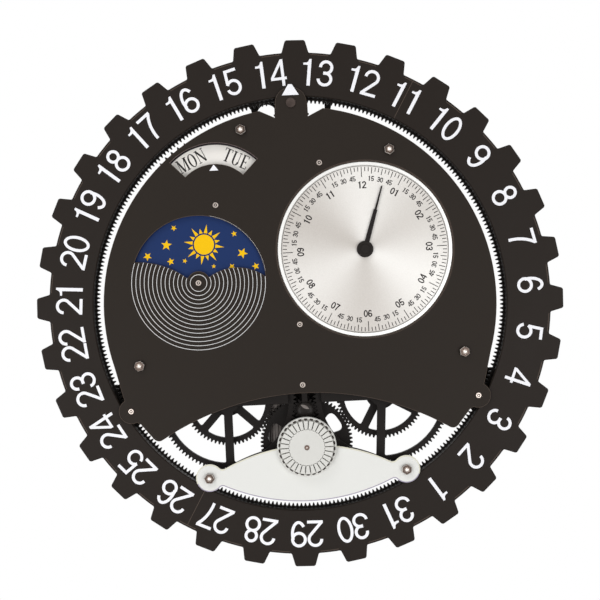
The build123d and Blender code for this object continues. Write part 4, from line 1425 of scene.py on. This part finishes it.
# %% Build the knob
KNOB = hub["knob_shaft"]
KNOB_R, WAIST_R, RIB_R = 22.4, 13.4, 19.9
RIBS = 30
rear, step, top = rear_of("knob_base"), front_of("knob_base"), front_of("knob_wheel")
floor_of_dish = step - 0.9
dish = [(0, floor_of_dish), (20.75, floor_of_dish), (20.9, step), (22.0, step), (KNOB_R, step - 0.5),
        (KNOB_R, rear), (0, rear)]
turned("knob_dish", dish, [KNOB], "knob_shaft", knob_silver, "knob_silver", 120, replaces=["knob_base"])
ribs = grow(spoked_gear, "knob_ribs", teeth=RIBS, root_radius=WAIST_R, tip_radius=RIB_R, root_half=1.05,
            tip_half=1.62, first=0.0, circle=0.6, rear=floor_of_dish, front=top, material=knob_silver,
            **NO_WINDOWS)
ribs.transform(Matrix.Translation((KNOB[0] * MM, 0, KNOB[1] * MM)))
ribs = closed(ribs, doubles=2e-6, slivers=True)
piece("knob_ribs", ribs, "knob_shaft", knob_silver, "knob_silver", ["knob_wheel"])
for name, depth, inner, outer, half in (
    ("knob_pockets", top, WAIST_R - 0.15, WAIST_R + 0.2, 2.9), ("knob_dashes", step, 20.2, 21.5, 3.3),
):
    lines = Print()
    for rib in range(RIBS):
        middle = rib * 360 / RIBS
        lines.arc(*KNOB, inner, outer, middle - half, middle + half)
    lines.piece(name, depth, "knob_shaft", knob_shade, "knob_silver")
rear, front = rear_of("knob_screw"), front_of("knob_screw")
pin = [(0, front - 0.3), (0.7, front - 0.3), (0.8, front), (1.6, front - 0.1), (1.9, front - 0.4),
       (1.9, rear), (0, rear)]
pin_end = [(0, front - 0.05), (0.6, front - 0.1), (0.65, front - 0.5), (0, front - 0.5)]
turned("knob_pin", pin, [KNOB], "knob_shaft", bronze, "brass_screw", replaces=["knob_screw"])
turned("knob_pin_end", pin_end, [KNOB], "knob_shaft", steel, "brass_screw")
print("knob ribs:", RIBS)

# %% [markdown]
# ## Parts that keep their CAD shape
# Posts, arbors, rollers, the motor and the closed boxes behind the face are already right as solids,
# so they only get a finish, matched to the material slot in the record.

# %% Paint the remaining parts
SLOT_FINISH = {
    "black_metal": black_plate, "black_plastic": black_plastic, "white_plate": white_plate,
    "white_print": white_print, "bright_steel": steel, "brass_screw": bronze, "motor_grey": motor_grey,
    "sky_blue": sky_blue, "brushed_silver": silver_dial, "knob_silver": knob_silver,
}
for node, thing in frame["nodes"].items():
    thing.data.materials.clear()
    thing.data.materials.append(SLOT_FINISH[slot_of[node]])
print("CAD parts shown as they are:", sum(not thing.hide_render for thing in frame["nodes"].values()))


# %% [markdown]
# A round wall is many flat strips. More strips would make it rounder and heavier, so it is shaded
# smooth instead. An edge that turns by more than 32 degrees stays crisp, as on the real part.

# %% Smooth the round walls, keep the edges crisp
CRISP = math.radians(32)
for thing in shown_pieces():
    if "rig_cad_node" not in thing:
        for polygon in thing.data.polygons:
            polygon.use_smooth = True
        thing.data.set_sharp_from_angle(angle=CRISP)

# %% [markdown]
# ## Studio
# Two large soft lamps stand low on both sides of the viewer, with a weak even light round the
# clock. A white world could light the whole scene, but it would wash out the shadows between the
# layers. So the backdrop is plain white to the camera and in reflections, and lights little more.

# %% Lamps and world
ROOM_LIGHT = 0.35
GLOSS_SHARE = 0.8


def lamp(name, place, size, power):
    """A square lamp that looks at the clock."""
    light = bpy.data.lights.new(name, "AREA")
    light.size = size
    light.energy = power
    thing = bpy.data.objects.new(name, light)
    bpy.context.scene.collection.objects.link(thing)
    thing.location = place
    thing.rotation_euler = (-Vector(place)).to_track_quat("-Z", "Y").to_euler()
    return thing


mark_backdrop(lamp("left_lamp", (-0.7, -1.2, -0.3), 0.8, 6.1), lamp("right_lamp", (0.7, -1.25, -0.22), 0.8, 6.1),
         lamp("top_lamp", (-0.5, -0.8, 0.9), 0.5, 3.2),
         lamp("back_lamp", (0.3, 1.1, 0.8), 1.0, 8))
world = bpy.data.worlds.new("studio")
world.use_nodes = True
bpy.context.scene.world = world
air = Nodes(world.node_tree)
background = world.node_tree.nodes["Background"]
camera_ray = air.add("ShaderNodeLightPath", output="Is Camera Ray")
gloss = air.add("ShaderNodeLightPath", output="Is Glossy Ray")
through = air.add("ShaderNodeLightPath", output="Is Transmission Ray")
plain = camera_ray.larger(gloss * GLOSS_SHARE).larger(through)
air.feed(background.inputs["Color"], (1.0, 1.0, 1.0, 1.0))
air.feed(background.inputs["Strength"], plain * (1 - ROOM_LIGHT) + ROOM_LIGHT)
print("lamps:", len(bpy.data.lights))

# %% [markdown]
# The floor lies well below the clock and shows in views from the side. It is pale and matt, and it
# is lifted towards white for the camera alone, because a floor that glows would light the clock
# from below.

# %% Floor
FLOOR_HALF, FLOOR_Z = 1.0, -0.6
floor_finish = Finish("pale_floor", roughness=0.9, base_color=(0.86, 0.86, 0.86), emission_strength=0.42)
seen = floor_finish.add("ShaderNodeLightPath", output="Is Camera Ray")
floor_finish.set("Emission Color", floor_finish.mix(seen, (0, 0, 0), (1, 1, 1)))
floor_mesh = bpy.data.meshes.new("floor")
corners = [(x * FLOOR_HALF, y * FLOOR_HALF, FLOOR_Z) for x, y in ((-1, -1), (1, -1), (1, 1), (-1, 1))]
floor_mesh.from_pydata(corners, [], [(0, 1, 2, 3)])
floor_mesh.materials.append(floor_finish.material)
floor = bpy.data.objects.new("floor", floor_mesh)
bpy.context.scene.collection.objects.link(floor)
floor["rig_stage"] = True
bpy.context.scene.view_settings.view_transform = "Standard"
print("floor at", FLOOR_Z, "m")

# %% [markdown]
# The viewer stands straight in front of the clock, about 0.8 m from the wall, and holds the camera
# with a slight roll. A longer lens from further off would flatten the layers.

# %% Camera
camera = bpy.data.cameras.new("camera")
camera.sensor_width = 36.0
camera.lens = 58.1
viewer = bpy.data.objects.new("camera", camera)
bpy.context.scene.collection.objects.link(viewer)
viewer.location = (0.0, -0.773, 0.0024)
viewer.rotation_euler = (math.pi / 2, math.radians(2.7), 0)
bpy.context.scene.camera = viewer
print("camera at", [round(place, 3) for place in viewer.location], "m")

# %% [markdown]
# Last, the box round the dressed clock is set beside the box round the solids, and its size is printed.
# No piece may stand outside the model.

# %% Box round the dressed clock
seen_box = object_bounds()
sizes = {"cad": [list(map(float, corner)) for corner in cad_box],
         "visual": [list(map(float, corner)) for corner in seen_box]}
print("visual size, mm:", [round((b - a) / MM, 1) for a, b in zip(*sizes["visual"])])
